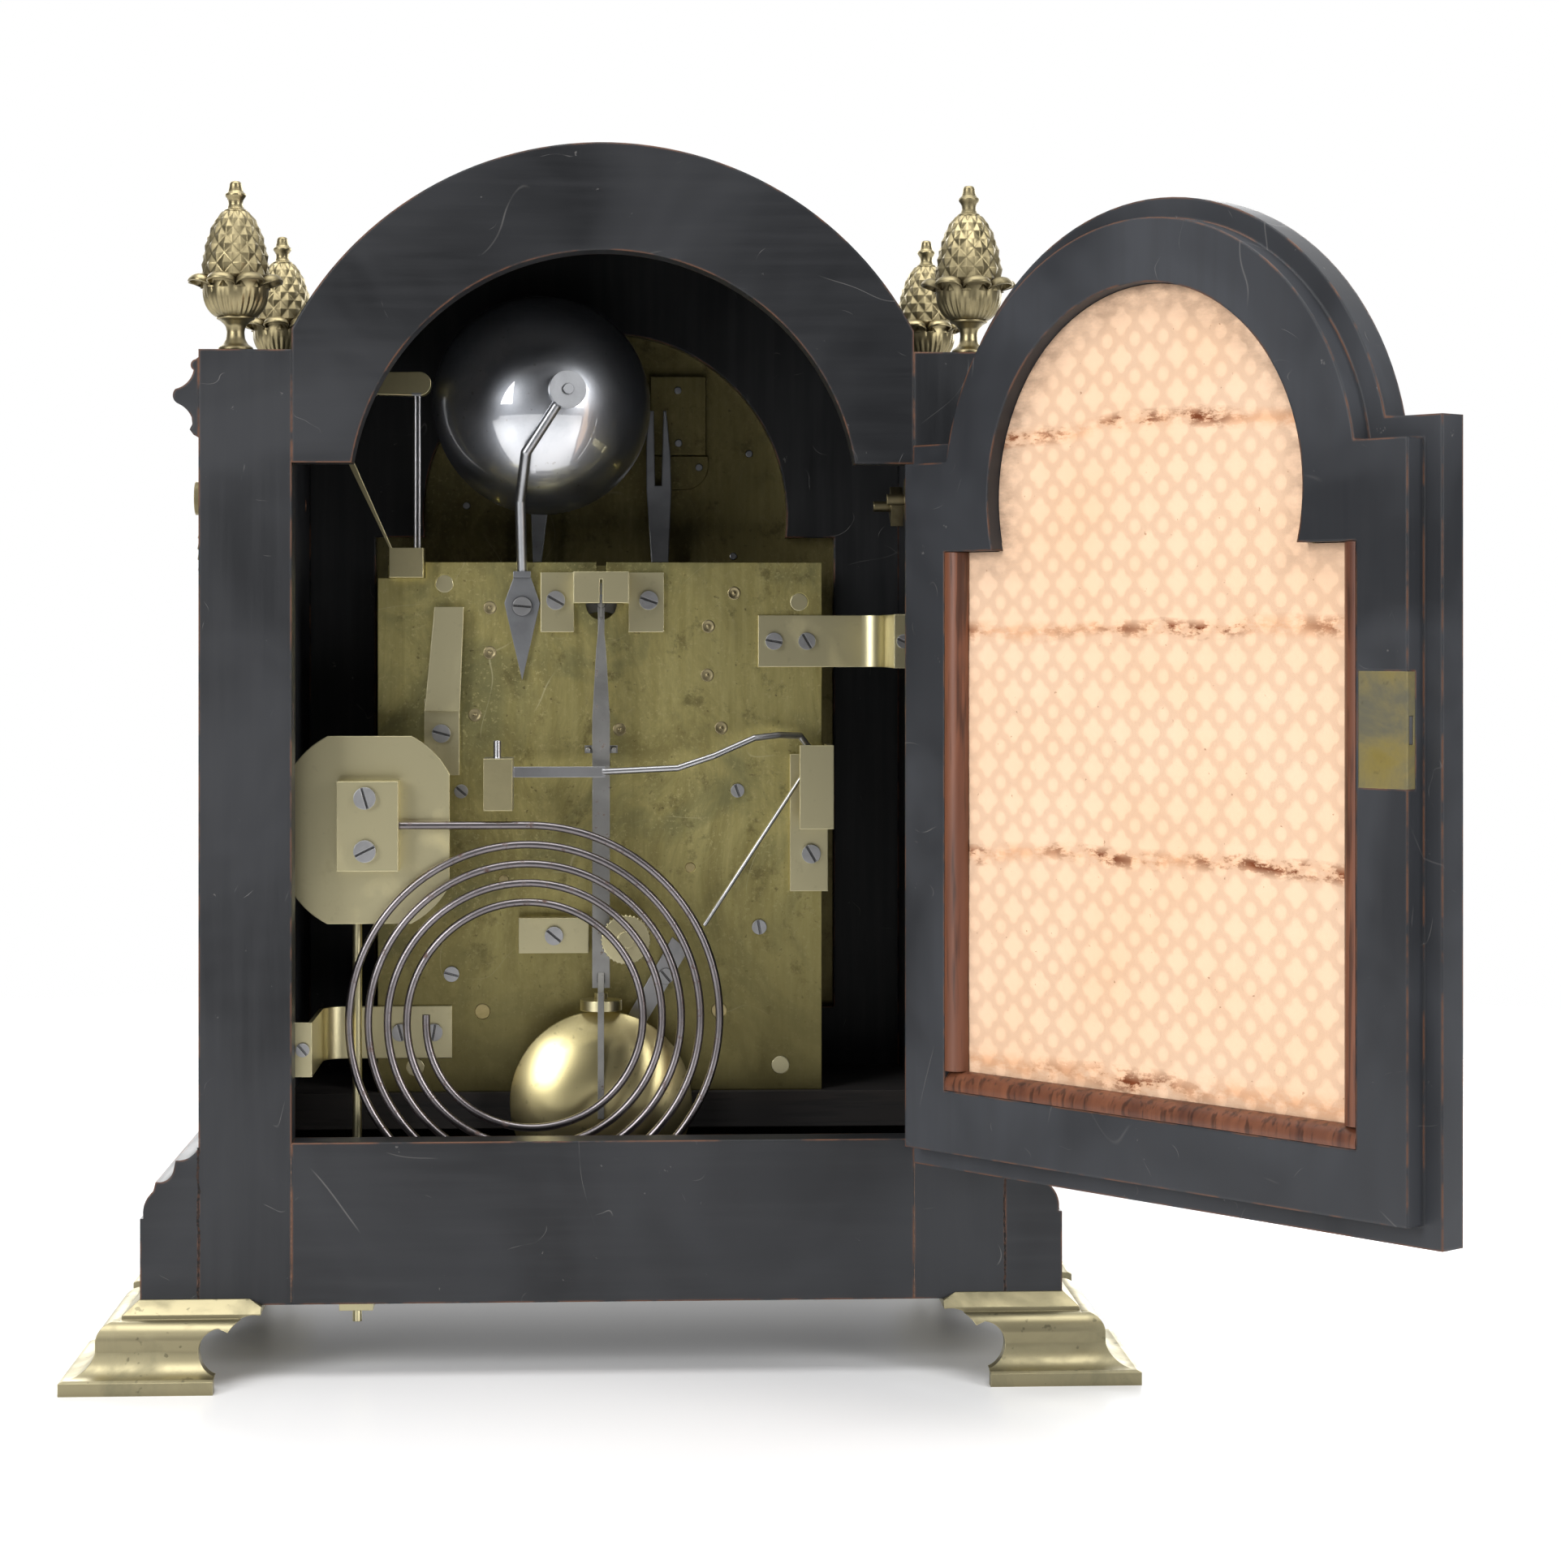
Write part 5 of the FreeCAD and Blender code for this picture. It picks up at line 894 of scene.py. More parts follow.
def pierced_tile():
    work = bmesh.new()
    for outline in (quatrefoil(), tile_outline()):
        verts = [work.verts.new((x, 0, z)) for x, z in outline]
        for i, vert in enumerate(verts):
            work.edges.new((vert, verts[(i + 1) % len(verts)]))
    bmesh.ops.triangle_fill(work, edges=work.edges, use_beauty=True)
    work.verts.index_update()
    corners = [tuple(v.co) for v in work.verts]
    faces = [[v.index for v in face.verts] for face in work.faces]
    work.free()
    return corners, faces


def pierced_plate():
    corners, faces = pierced_tile()
    work = bmesh.new()
    for column in range(-8, 9):
        for row in range(24):
            cx, cz = column * PITCH, LIGHT_LOW + (row + 0.2) * PITCH
            spots, moved = [], []
            for x, _, z in corners:
                px, pz, outside = keep_in_light(cx + x, cz + z)
                spots.append((px, FRET_BACK, pz))
                moved.append(outside)
            if all(moved):
                continue
            verts = [work.verts.new(p) for p in spots]
            for face in faces:
                if not all(moved[i] for i in face):
                    work.faces.new([verts[i] for i in face])
    bmesh.ops.remove_doubles(work, verts=work.verts, dist=2e-5)
    bmesh.ops.dissolve_degenerate(work, edges=work.edges, dist=1e-5)
    raised = bmesh.ops.extrude_face_region(work, geom=work.faces[:])
    for item in raised["geom"]:
        if isinstance(item, bmesh.types.BMVert):
            item.co.y = FRET_FACE
    return work


pierced = new_piece("pierced_plate", pierced_plate(), sheet_brass, "bright_brass",
                    "rear_door_fret", body="rear_door", smooth=40, swing=door_open)
print("pierced plate faces:", len(pierced.data.polygons))

# %% [markdown]
# The silk is one thin sheet, so it is a surface without thickness, and light passes through
# it: a fifth of its shader is a translucent one. Its old glue has stained it in brown bands
# where the strips of the plate were stuck, and dust has gathered along the arch. A UV map
# keeps each point's place on the shut door, so the stains stay with the cloth when it turns.

# %% Silk
GLUE_LINES = (0.1215, 0.1985, 0.2775, 0.3480)
LOW_LINE_REACH, LINE_REACH = 0.0058, 0.0042
PALE_SILK, DEEP_SILK = (0.86, 0.61, 0.43), (0.84, 0.55, 0.355)
SILK_DUST, RUST_SPECK = (0.40, 0.26, 0.18), (0.35, 0.16, 0.08)
THIN_GLUE, THICK_GLUE = (0.72, 0.30, 0.11), (0.20, 0.055, 0.02)
LIGHT_THROUGH = 0.20
DUST_REACH = 0.013
SILK_STEP = 0.0022


def silk_finish():
    graph = Graph("peach_silk")
    spot = graph.add("UVMap", {"uv_map": "door_place"})
    along = graph.add("SeparateXYZ", Vector=spot)
    stretched = graph.add("Mapping", Vector=spot, Scale=(1, 2.2, 1))
    blots = graph.noise(75, stretched, detail=6, rough=0.7)
    wander = graph.times(graph.sum("SUBTRACT", graph.noise(16, spot, detail=2), 0.5), 0.012)
    level = graph.sum("ADD", (along, "Y"), wander)
    band = None
    for number, height in enumerate(GLUE_LINES):
        off = graph.sum("ABSOLUTE", graph.sum("SUBTRACT", level, height))
        near = graph.remap(off, 0.0005, LINE_REACH if number else LOW_LINE_REACH, 1.0, 0.0)
        band = near if band is None else graph.sum("MAXIMUM", band, near)
    run = graph.ramp(graph.noise(13, spot, detail=2), [(0.44, 0), (0.54, 1)])
    glued = graph.times(graph.times(band, run), graph.ramp(blots, [(0.49, 0), (0.56, 1)]))
    faint = graph.times(band, graph.ramp(blots, [(0.38, 0), (0.55, 0.45)]))
    rim = graph.add("Attribute", {"attribute_name": "near_rim"})
    dusty = graph.times((rim, "Fac"), graph.ramp(blots, [(0.36, 0), (0.62, 1)]))
    cloud = graph.ramp(graph.noise(9, spot, detail=4), [(0.35, PALE_SILK), (0.7, DEEP_SILK)])
    specks = graph.ramp(graph.noise(420, spot, detail=2), [(0.72, 0), (0.76, 0.6)])
    colour = cloud
    for share, tint in ((graph.times(dusty, 0.9), SILK_DUST), (faint, THIN_GLUE),
                        (glued, THICK_GLUE), (specks, RUST_SPECK)):
        colour = graph.mix(share, colour, tint)
    warp = graph.add("TexWave", {"bands_direction": "DIAGONAL"}, Vector=spot, Scale=900.0,
                     Distortion=0.6)
    graph.finish(Base_Color=colour, Roughness=0.85, Specular_IOR_Level=0.15,
                 Normal=graph.bump(warp, 0.00006, 0.3))
    return graph.blend(LIGHT_THROUGH, graph.add("BsdfTranslucent", Color=colour))


def silk_mesh():
    columns = int(2 * LIGHT_HALF / SILK_STEP) + 1
    levels = int((LIGHT_Z + LIGHT_R - LIGHT_LOW) / SILK_STEP) + 1
    work = bmesh.new()
    place = work.loops.layers.uv.new("door_place")
    rim = work.verts.layers.float.new("near_rim")
    rows, outside = [], {}
    for j in range(levels + 1):
        row = []
        for i in range(columns + 1):
            px, pz, out = keep_in_light(-LIGHT_HALF + i * SILK_STEP, LIGHT_LOW + j * SILK_STEP)
            slack = 0.00012 * sin(90 * px + 3) * sin(70 * pz)
            vert = work.verts.new((px, SILK_FACE + slack, pz))
            ix, iz, _ = keep_in_light(px, pz, DUST_REACH)
            inset = min(1.0, hypot(ix - px, iz - pz) / DUST_REACH)
            vert[rim] = inset if pz > LIGHT_SPRING else 0.55 * inset
            outside[vert] = out
            row.append(vert)
        rows.append(row)
    for low, high in zip(rows, rows[1:]):
        for i in range(columns):
            corners = (low[i], low[i + 1], high[i + 1], high[i])
            if not all(outside[v] for v in corners):
                work.faces.new(corners)
    loose = [v for v in work.verts if not v.link_faces]
    bmesh.ops.delete(work, geom=loose, context="VERTS")
    bmesh.ops.dissolve_degenerate(work, edges=work.edges, dist=2e-5)
    for face in work.faces:
        for loop in face.loops:
            loop[place].uv = (loop.vert.co.x, loop.vert.co.z)
    return work


silk = new_piece("door_silk", silk_mesh(), silk_finish(), "silk", "rear_door_silk",
                 body="rear_door", swing=door_open)

# %% [markdown]
# ## Small work on the movement
#
# Where a pivot comes through the back plate, the maker turned a dished hollow that holds a
# drop of oil. Eight of them show, each with a bright steel pivot in a dark ring. A ring with
# a dished inside, turned like a small bowl, stands a hair proud of the plate.

# %% Oil sinks and pivots
PLATE_BACK = -0.0250
PIVOTS = ((-45.1, 286.6), (-45.1, 269.0), (-50.9, 244.5), (50.9, 292.4), (40.7, 279.3),
          (40.3, 260.1), (45.8, 239.3), (5.8, 238.7))
SINK = ((0.0, 0.42), (0.45, 0.40), (0.62, 0.30), (0.64, 0.04), (1.1, 0.03), (1.7, 0.10),
        (2.1, 0.26), (2.35, 0.27), (2.6, 0.14), (2.65, -0.2))


def turned_on_plate(work, x, z, face, profile, turns=28):
    """Turns (radius, height) pairs about a line at (x, z) that points back; all in mm."""
    rows = []
    for radius, height in profile:
        radius = max(radius, 0.01) * MM
        rows.append([(x * MM + radius * c, face - height * MM, z * MM + radius * s)
                     for c, s in ring(turns)])
    grid(work, rows, around=True)


sinks = bmesh.new()
for x, z in PIVOTS:
    turned_on_plate(sinks, x, z, PLATE_BACK, SINK)
new_piece("oil_sinks", sinks, cast_brass, "bright_brass")
print("oil sinks:", len(PIVOTS))

# %% [markdown]
# Behind the bell, two grey steel levers of the striking and the strike/silent work stand up
# between the plates and the dial, and a small brass bridge is screwed to the back of the
# dial. Each is flat sheet cut to an outline, so each is an outline given a thickness.

# %% Levers and bridge in the arch
DIAL_BACK = 0.0590
LEVER_FACE = 0.0440
BRIDGE_TOP = DIAL_BACK - 0.0062
BRIDGE_FOOT = DIAL_BACK - 0.0042
CHEESE = ((0, 0.9), (1.3, 0.9), (1.55, 0.7), (1.6, -0.2))


def sheet_part(work, outline, face, thick, edge=0.25):
    """Flat sheet seen from behind: an outline in mm, with a small bevel round its face."""
    verts = [work.verts.new((x * MM, face, z * MM)) for x, z in outline]
    front = work.faces.new(verts)
    raised = bmesh.ops.extrude_face_region(work, geom=[front])
    for item in raised["geom"]:
        if isinstance(item, bmesh.types.BMVert):
            item.co.y += thick * MM
    bmesh.ops.bevel(work, geom=front.edges[:], offset=edge * MM, segments=2, affect="EDGES")


def arc(cx, cz, radius, start, stop, steps=8):
    return [(cx + radius * cos(radians(start + (stop - start) * i / steps)),
             cz + radius * sin(radians(start + (stop - start) * i / steps)))
            for i in range(steps + 1)]


work = bmesh.new()
sheet_part(work, [(19.0, 306.0), (26.1, 306.0), (27.3, 335.5), (26.9, 351), (25.2, 369),
                  (23.9, 369), (23.2, 338), (20.6, 338), (20.0, 369), (17.6, 369), (16.8, 352),
                  (17.0, 335.5)], LEVER_FACE, 2.2)
sheet_part(work, [(-30.0, 306.0), (-26.4, 306.0), (-24.0, 326), (-24.4, 334), (-30.4, 334),
                  (-30.7, 326)], LEVER_FACE, 2.2)
levers = new_piece("arch_levers", work, foot_steel, "steel")
work = bmesh.new()
sheet_part(work, [(18.5, 384.0), (42.0, 384.0), (42.0, 351.0), (18.5, 351.0)], BRIDGE_TOP, 2.0)
sheet_part(work, [(18.5, 350.9), (42.9, 350.9), (42.9, 346.5)]
           + arc(33.0, 346.5, 9.9, 0, -90) + [(18.5, 336.6)], BRIDGE_FOOT, 3.9)
bridge = new_piece("arch_bridge", work, dull_plate, "bright_brass")
work = bmesh.new()
for x, z, face in ((30.1, 378.0, BRIDGE_TOP), (30.4, 356.0, BRIDGE_TOP),
                   (39.0, 346.0, BRIDGE_FOOT), (60.1, 352.0, DIAL_BACK),
                   (53.4, 309.0, DIAL_BACK), (-58.0, 330.0, DIAL_BACK)):
    turned_on_plate(work, x, z, face, CHEESE, 20)
arch_screws = new_piece("arch_screws", work, foot_steel, "steel")
print("arch:", levers.name, bridge.name, arch_screws.name)

# %% [markdown]
# ## The dial
#
# The photograph shows the back, so the dial follows what such a clock has: a gilt plate, a
# silvered ring with roman hours, a minute track with plain figures outside it, a matted
# centre and cast corner pieces. On the ring each mark is cut and filled with black wax. Here
# a mark is a thin black shape that lies on the ring. Seen from the front, right is minus x.

# %% Black wax and gilt
DIAL_FACE = 0.0615
RING_FACE = 0.0630
HEART_Z = 216
DIAL_HEART = HEART_Z * MM
STRIKE_HEART = 0.352
WAX_HIGH = 0.00006
LETTER_WIDE = {"I": 4.1, "V": 8.4, "X": 8.6}
THICK_STROKE, THIN_STROKE, REACH = 2.1, 0.7, 2.5
FIGURE_HIGH, FIGURE_FOOT = 3.6, 88.2
ARROW = ((-0.5, 15), (0.5, 15), (1.4, 18), (0, 21.5), (-1.4, 18))
NUMERALS = ("XII", "I", "II", "III", "IIII", "V", "VI", "VII", "VIII", "IX", "X", "XI")


def wax_finish():
    graph = Graph("black_wax")
    cloud = graph.noise(300, detail=3)
    tint = graph.ramp(cloud, [(0.3, (0.008, 0.008, 0.009)), (0.75, (0.03, 0.028, 0.027))])
    return graph.finish(Base_Color=tint, Roughness=0.45, Normal=graph.bump(cloud, 0.00002, 0.4))


def gilt_finish(name, matted):
    graph = Graph(name)
    cloud = graph.ramp(graph.noise(24, detail=5), [(0.35, (0.72, 0.56, 0.27)),
                                                   (0.7, (0.55, 0.41, 0.18))])
    grains = graph.add("TexVoronoi", Vector=graph.place(), Scale=1900.0 if matted else 500.0)
    dirt = graph.hollows(0.003, (0.35, 0.8), (0.85, 0))
    colour = graph.mix(dirt, cloud, (0.06, 0.035, 0.015))
    return graph.finish(Base_Color=colour, Metallic=1.0, Roughness=0.5 if matted else 0.28,
                        Normal=graph.bump((grains, "Distance"),
                                          0.00025 if matted else 0.00002, 0.9))


wax = wax_finish()
gilt = gilt_finish("gilt_brass", False)
matted_gilt = gilt_finish("matted_gilt", True)
print("dial finishes:", wax.name, gilt.name, matted_gilt.name)

# %% [markdown]
# A roman numeral is only thick and thin strokes with small feet. `stroke` makes one slanted
# bar, and each numeral stands upright on the circle, its foot towards the middle.

# %% Hour numerals, minute track and figures


def on_dial(angle, right, up, heart=DIAL_HEART):
    """A point `up` mm from the dial's heart and `right` mm clockwise of the angle's line."""
    out_x, out_z = -sin(angle), cos(angle)
    side_x, side_z = -cos(angle), -sin(angle)
    return (out_x * up + side_x * right) * MM, heart + (out_z * up + side_z * right) * MM


def wax_shape(work, points):
    low = [work.verts.new((x, RING_FACE - WAX_HIGH / 2, z)) for x, z in points]
    high = [work.verts.new((x, RING_FACE + WAX_HIGH, z)) for x, z in points]
    work.faces.new(high)
    for i in range(-1, len(points) - 1):
        work.faces.new((low[i], low[i + 1], high[i + 1], high[i]))


def stroke(work, angle, foot, head, low, high, thick):
    spots = ((foot - thick / 2, low), (foot + thick / 2, low),
             (head + thick / 2, high), (head - thick / 2, high))
    wax_shape(work, [on_dial(angle, p, q) for p, q in spots])


def serif(work, angle, middle, level, wide):
    stroke(work, angle, middle, middle, level - 0.3, level + 0.3, wide)


def numeral(work, angle, text, low=67.6, high=82.4):
    start = -sum(LETTER_WIDE[letter] for letter in text) / 2
    for letter in text:
        middle = start + LETTER_WIDE[letter] / 2
        start += LETTER_WIDE[letter]
        if letter == "I":
            bars = ((0, 0, 2.0),)
            feet = ((0, low, 3.8), (0, high, 3.8))
        elif letter == "V":
            bars = ((0.3, -REACH, THICK_STROKE), (0.3, REACH, THIN_STROKE))
            feet = ((-REACH, high, 3.6), (REACH, high, 3.0))
        else:
            bars = ((REACH, -REACH, THICK_STROKE), (-REACH, REACH, THIN_STROKE))
            feet = ((-REACH, low, 3.0), (REACH, low, 3.6), (-REACH, high, 3.6),
                    (REACH, high, 3.0))
        for foot, head, thick in bars:
            stroke(work, angle, middle + foot, middle + head, low, high, thick)
        for side, level, wide in feet:
            serif(work, angle, middle + side, level, wide)


def circle_line(work, radius, thick, heart=DIAL_HEART, steps=120):
    for i in range(steps):
        a, b = TURN * i / steps, TURN * (i + 1) / steps
        wax_shape(work, [on_dial(*spot, heart) for spot in (
            (a, 0, radius), (a, 0, radius + thick), (b, 0, radius + thick), (b, 0, radius))])


def figure_points(value, angle):
    """A plain figure as a flat mesh, about 3 mm high, standing on the minute circle."""
    curve = bpy.data.curves.new("figure", "FONT")
    curve.body = str(value)
    curve.size = FIGURE_HIGH
    curve.align_x = "CENTER"
    holder = bpy.data.objects.new("figure", curve)
    flat = bpy.data.meshes.new_from_object(holder)
    corners = [on_dial(angle, v.co.x, v.co.y + FIGURE_FOOT) for v in flat.vertices]
    faces = [list(face.vertices) for face in flat.polygons]
    bpy.data.objects.remove(holder)
    bpy.data.curves.remove(curve)
    bpy.data.meshes.remove(flat)
    return corners, faces


marks = bmesh.new()
for hour, text in enumerate(NUMERALS):
    numeral(marks, hour * pi / 6, text)
for radius, thick in ((65.0, 0.3), (66.1, 0.2), (84.0, 0.3), (86.9, 0.3)):
    circle_line(marks, radius, thick)
for minute in range(60):
    turn = minute * pi / 30
    stroke(marks, turn, 0, 0, 84.2, 87.0, 0.9 if minute % 5 == 0 else 0.35)
for half in range(12):
    turn = (half + 0.5) * pi / 6
    stroke(marks, turn, 0, 0, 73.0, 77.5, 0.7)
    stroke(marks, turn, -1.1, 1.1, 75.0, 75.6, 1.0)
for radius in (13.6, 23.2):
    circle_line(marks, radius, 0.25, STRIKE_HEART, 60)
for place in (-60, 60):
    turn = radians(place)
    wax_shape(marks, [on_dial(turn, p, q, STRIKE_HEART) for p, q in ARROW])
for step in range(12):
    corners, faces = figure_points(step * 5 or 60, step * pi / 6)
    verts = [marks.verts.new((x, RING_FACE + WAX_HIGH, z)) for x, z in corners]
    for face in faces:
        marks.faces.new([verts[i] for i in face])
dial_marks = new_piece("dial_marks", marks, wax, "silvered_brass")
print("dial mark faces:", len(dial_marks.data.polygons))

# %% [markdown]
# The corner pieces are cast and chased leaf scrolls. One leaf is a small domed grid with a
# rib along it; a corner is a fan of leaves with two arms that run along the plate's edges,
# and the same leaves flank the small dial in the arch. The gilt face and the matted centre
# are thin sheets that lie on the plate.

# %% Gilt face, matted centre and corner leaves
ARCH_Z = 326
LEAF_ARC_R = 55
PLATE_HALF = 98
PLATE_ARCH_R = 78
GILT_THICK, MAT_THICK = 0.00004, 0.00012


def leaf(work, x, z, length, width, turn, high):
    """A domed, ribbed leaf that starts at (x, z) in mm and points along its turn."""
    rows = []
    for i in range(13):
        t = i / 12
        half = width / 2 * sin(pi * t ** 0.7) ** 0.8 * (1 + 0.16 * cos(16 * t))
        row = []
        for k in range(9):
            side = k / 4 - 1
            dome = sqrt(max(0.0, 1 - side * side)) * (0.35 + 0.65 * sin(pi * t))
            rib = 0.3 * exp(-(side * 5) ** 2)
            curl = 0.22 * length * t * t
            along, aside = t * length, side * half + curl
            px = x + along * cos(turn) - aside * sin(turn)
            pz = z + along * sin(turn) + aside * cos(turn)
            row.append((px * MM, DIAL_FACE + (high * dome + rib * dome) * MM, pz * MM))
        rows.append(row)
    grid(work, rows)


def bead(work, x, z, radius):
    rows = []
    for i in range(7):
        lift = radians(90 * i / 6)
        rows.append([((x + radius * cos(lift) * c) * MM, DIAL_FACE + radius * sin(lift) * MM,
                      (z + radius * cos(lift) * s) * MM) for c, s in ring(12)])
    grid(work, rows, around=True)


def corner_leaves(work, sx, sz):
    """Leaves fan from a bead near the corner; two arms follow the edges."""
    heart_x, heart_z = sx * 79, HEART_Z + sz * 79
    bead(work, heart_x, heart_z, 2.6)
    inward = atan2(-sz, -sx)
    for k in range(-3, 4):
        leaf(work, heart_x, heart_z, 12.5 - abs(k), 6.0, inward + pi + k * 0.62, 1.6)
    for first, second in ((0, 1), (1, 0)):
        for number, (t, length) in enumerate(((14, 15), (26, 13), (37, 10), (46, 7))):
            x = sx * (88 + 2.2 * number / 3 - t * first - 3 * second)
            z = HEART_Z + sz * (88 + 2.2 * number / 3 - t * second - 3 * first)
            way = atan2(-sz * second, -sx * first)
            for side in (-1, 1):
                leaf(work, x, z, length, 4.4, way + side * (0.42 - 0.08 * number), 1.4)
            bead(work, x, z, 1.3)


def arch_leaves(work, sx):
    for number, degrees in enumerate((18, 34, 50)):
        a = radians(degrees)
        x, z = sx * LEAF_ARC_R * cos(a), ARCH_Z + LEAF_ARC_R * sin(a)
        away = atan2(sin(a), sx * cos(a))
        for side in (-1, 0, 1):
            leaf(work, x, z, 15 - 2 * number - 2 * abs(side), 5.6, away + side * 0.8, 1.5)
            leaf(work, x, z, 12 - 2 * number, 5.0, away + pi + side * 0.9, 1.4)
        bead(work, x, z, 2.0)


corners = bmesh.new()
for sx in (-1, 1):
    for sz in (-1, 1):
        corner_leaves(corners, sx, sz)
    arch_leaves(corners, sx)
corner_pieces = new_piece("corner_pieces", corners, gilt, "bright_brass", smooth=60)
face_y = DIAL_FACE + GILT_THICK
work = bmesh.new()
grid(work, [[(side * PLATE_HALF * MM, face_y, z * MM) for side in (-1, 1)]
            for z in (118, HEART_Z, 318.5)])
grid(work, [[(side * PLATE_ARCH_R * cos(a) * MM, face_y, (ARCH_Z + PLATE_ARCH_R * sin(a)) * MM)
             for side in (-1, 1)] for a in (radians(-5.4 + 95.3 * i / 24) for i in range(25))])
gilt_face = new_piece("gilt_face", work, gilt, "bright_brass")
work = bmesh.new()
grid(work, [[(r * c * MM, DIAL_FACE + MAT_THICK, DIAL_HEART + r * s * MM) for c, s in ring(72)]
            for r in (9, 30, 50, 63.8)], around=True)
centre = new_piece("matted_centre", work, matted_gilt, "bright_brass")
WINDING = ((33.6, 184.3), (-39.7, 179.7))
COLLAR = ((4.6, -0.1), (4.7, -0.7), (5.4, -1.0), (6.1, -0.7), (6.5, -1.0), (7.0, -0.6),
          (7.1, 0.0))
HOLE = ((2.1, -0.2), (4.7, -0.2))
for name, profile, finish in (("winding_collars", COLLAR, gilt), ("winding_holes", HOLE, wax)):
    work = bmesh.new()
    for x, z in WINDING:
        turned_on_plate(work, x, z, DIAL_FACE, profile)
    new_piece(name, work, finish, "bright_brass")
print("corner faces:", len(corner_pieces.data.polygons), gilt_face.name, centre.name)

# %% [markdown]
# ## The drop handles
#
# The handles are cast with pointed leaves that lap down each arm. The CAD bar has their
# path: two quarter turns, two arms and a round bottom. Here a ring of points is carried
# along that path. Its radius swells in each arm, and a saw-tooth wave that runs back from a
# ridge makes the leaves.

# %% Cast leaf handles
BAIL_PIN_Z = 0.324
BAIL_ARM = 0.022
BAIL_TOP = 0.0271
BAIL_BEND = BAIL_TOP - BAIL_ARM
BAIL_LOW = BAIL_PIN_Z - BAIL_BEND - 0.015
LEAF_PITCH = 0.0042
BAIL_STEP = 0.0004
BAIL_SIDES = 20
BAIL_X = 0.1552


def bail_path():
    """Points (y, z) from one pin, down an arm, round the bottom and up to the other pin."""
    half = [(BAIL_TOP, BAIL_PIN_Z)]
    for i in range(1, 15):
        a = radians(90 * i / 14)
        half.append((BAIL_TOP - BAIL_BEND * sin(a), BAIL_PIN_Z - BAIL_BEND * (1 - cos(a))))
    bend_z = BAIL_PIN_Z - BAIL_BEND
    half += [(BAIL_ARM, bend_z - (bend_z - BAIL_LOW) * i / 24) for i in range(1, 25)]
    for i in range(1, 40):
        a = radians(90 * i / 40)
        half.append((BAIL_ARM * cos(a), BAIL_LOW - BAIL_ARM * sin(a)))
    return half + [(0, BAIL_LOW - BAIL_ARM)] + [(-y, z) for y, z in reversed(half)]


def bail_radius(along, whole, angle):
    """Radius at a distance from the nearer pin; `angle` is 0 on the side of the case."""
    near = min(along, whole - along)
    share = near / (whole / 2)
    swell = sin(pi * min(1.0, share / 0.62)) ** 0.8 if share < 0.62 else 0.0
    bottom = max(0.0, 1 - abs(share - 1) / 0.30)
    radius = 0.0025 + 0.0015 * swell + 0.0011 * bottom
    tooth = (near / LEAF_PITCH + 0.9 * abs(cos(angle))) % 1
    radius += 0.00075 * (tooth - 0.5) * min(1.0, 2 * swell + 2 * bottom)
    for place in (0.66, 0.70):
        radius += 0.0011 * exp(-((share - place) / 0.012) ** 2)
    return radius


def leaf_handle(name, node, body, x_pin):
    fine = []
    path = [Vector((x_pin, y, z)) for y, z in bail_path()]
    for a, b in zip(path, path[1:]):
        steps = max(1, round((b - a).length / BAIL_STEP))
        fine += [a.lerp(b, i / steps) for i in range(steps)]
    fine.append(path[-1])
    lengths = [0.0]
    for a, b in zip(fine, fine[1:]):
        lengths.append(lengths[-1] + (b - a).length)
    rows = []
    across = Vector((1, 0, 0))
    for i, spot in enumerate(fine):
        ahead = (fine[min(i + 2, len(fine) - 1)] - fine[max(i - 2, 0)]).normalized()
        out = ahead.cross(across)
        row = []
        for k, (c, s) in enumerate(ring(BAIL_SIDES)):
            radius = bail_radius(lengths[i], lengths[-1], TURN * k / BAIL_SIDES)
            row.append(spot + (across * c + out * s) * radius)
        rows.append(row)
    work = bmesh.new()
    ends = grid(work, rows, around=True)
    for end in (ends[0], ends[-1]):
        work.faces.new(end)
    return new_piece(name, work, cast_brass, "cast_brass", node, body=body, smooth=50)


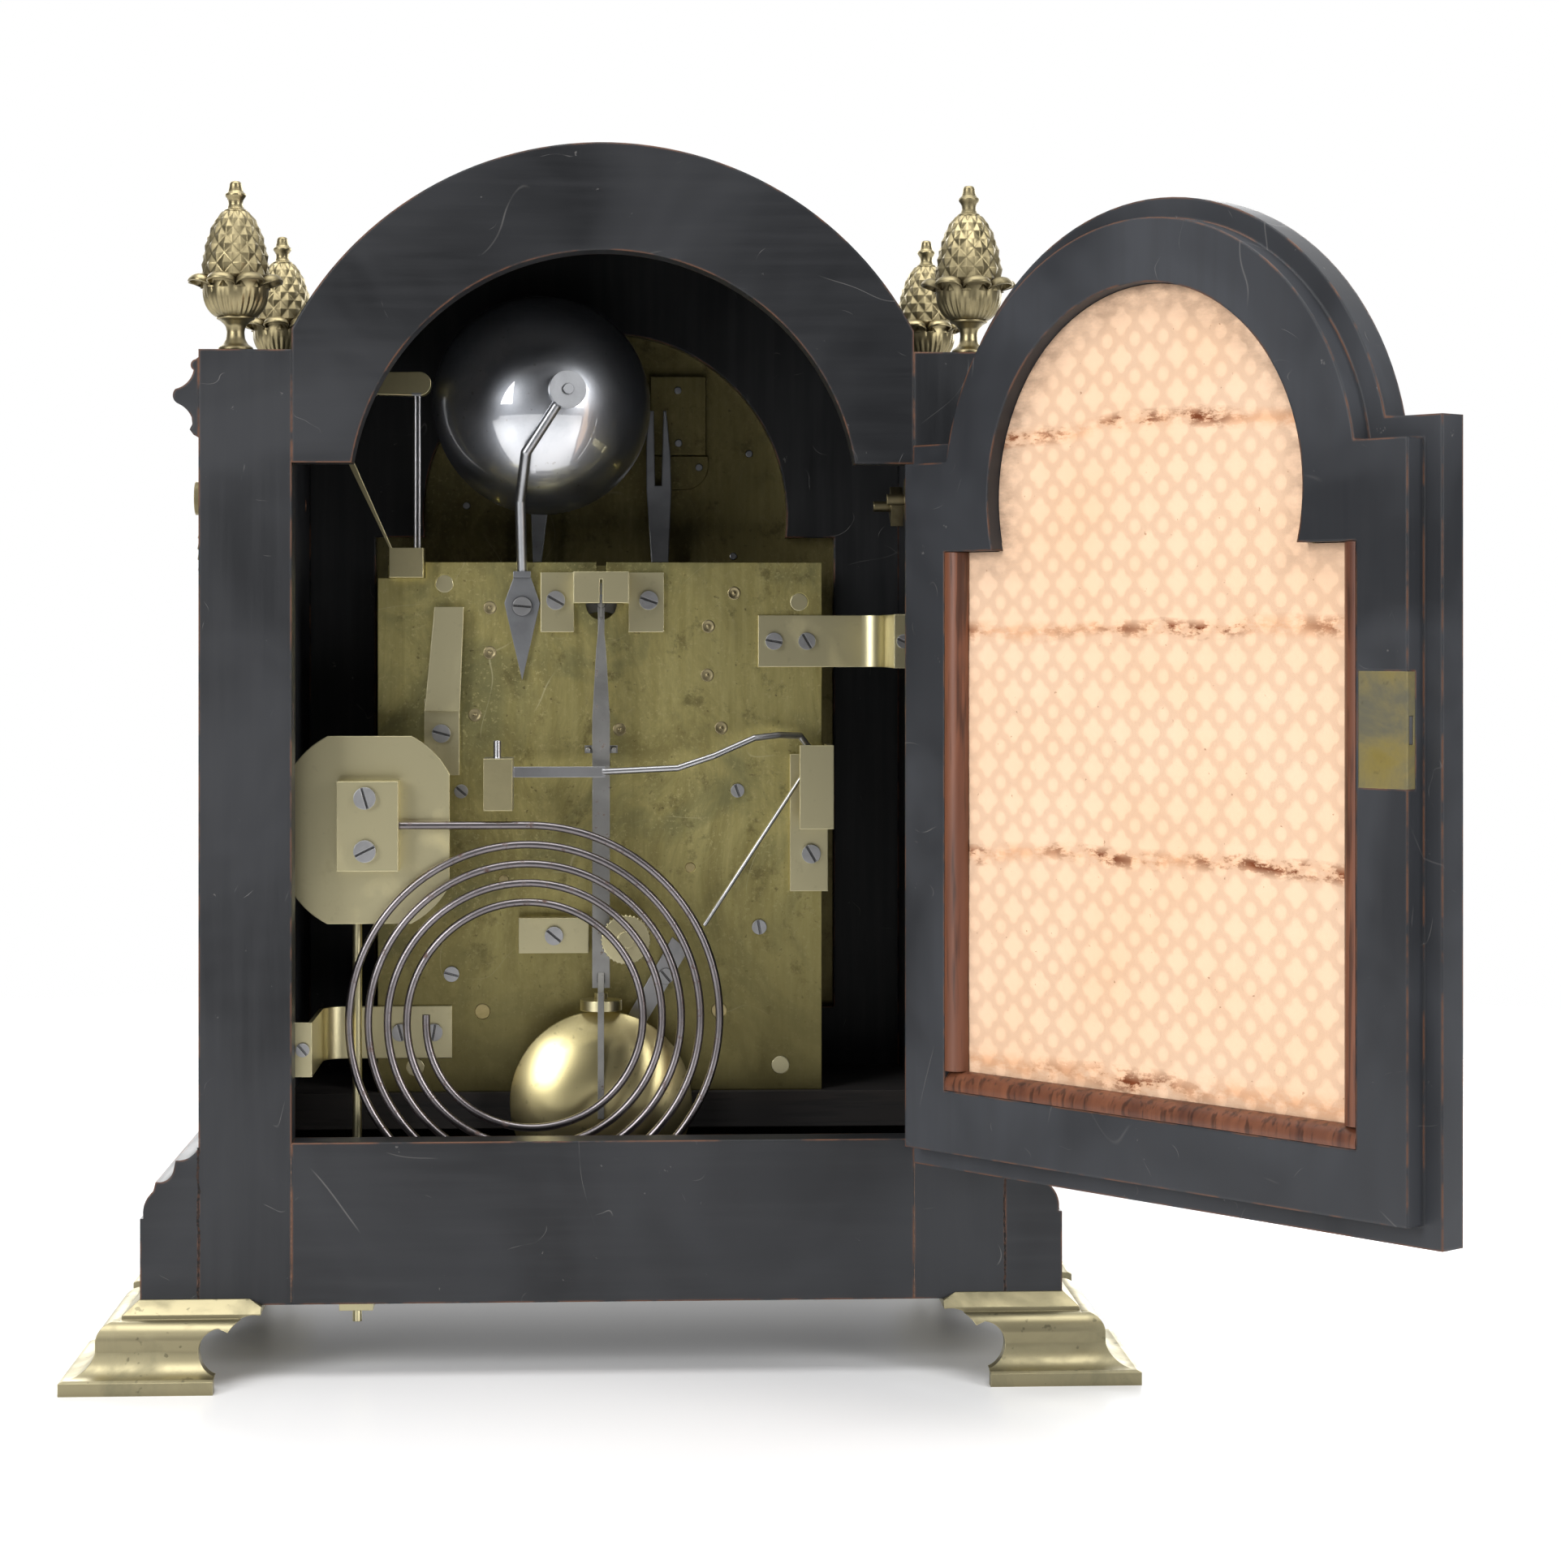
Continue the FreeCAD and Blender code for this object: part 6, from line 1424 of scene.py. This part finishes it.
left_leaf = leaf_handle("left_leaf_handle", "left_handle", "left_bail", -BAIL_X)
right_leaf = leaf_handle("right_leaf_handle", "right_handle", "right_bail", BAIL_X)
print("handle faces:", len(left_leaf.data.polygons), len(right_leaf.data.polygons))

# %% [markdown]
# ## Cracks and open joints
#
# The wood has moved with age. A dark, ragged gap has opened on each side where the base
# moulding meets the frame, and the joints of the bottom rail show as fine pale lines. Each
# is a ribbon whose width wanders, laid a hair above the wood. A seed keeps it the same.

# %% Ragged gaps and joint lines


def plain_finish(name, dark, pale, rough):
    graph = Graph(name)
    specks = graph.noise(900, detail=4)
    colour = graph.ramp(specks, [(0.42, dark), (0.66, pale)])
    return graph.finish(Base_Color=colour, Roughness=rough,
                        Normal=graph.bump(specks, 0.0001, 0.6))


gap_dark = plain_finish("open_gap", (0.004, 0.003, 0.003), (0.050, 0.022, 0.012), 0.9)
joint_pale = plain_finish("joint_line", (0.06, 0.045, 0.035), (0.20, 0.12, 0.08), 0.8)


def ribbon(work, x, low, high, widest, ragged, dice):
    """An upright strip on the back of the case; its edges wander by `ragged` mm."""
    rows = []
    steps = int((high - low) / 0.7)
    drift = 0.0
    for i in range(steps + 1):
        z = low + (high - low) * i / steps
        drift = 0.85 * drift + dice.uniform(-ragged, ragged)
        half = widest / 2 * dice.uniform(0.45, 1.0)
        rows.append([((x + drift + side * half) * MM, CASE_BACK - 0.00004, z * MM)
                     for side in (-1, 1)])
    grid(work, rows)


dice = random.Random(7)
gaps, lines = bmesh.new(), bmesh.new()
for work, x, low, high, widest, ragged in (
        (gaps, -149.9, 28.5, 86.0, 1.1, 0.16), (gaps, 149.9, 28.5, 84.0, 0.9, 0.14),
        (lines, -115.9, 28.5, 86.5, 0.28, 0.02), (lines, 115.9, 28.5, 86.5, 0.28, 0.02)):
    ribbon(work, x, low, high, widest, ragged, dice)
wood_gaps = new_piece("wood_gaps", gaps, gap_dark, "ebonised_wood")
joint_lines = new_piece("joint_lines", lines, joint_pale, "ebonised_wood")
print("gaps and lines:", len(wood_gaps.data.polygons), len(joint_lines.data.polygons))
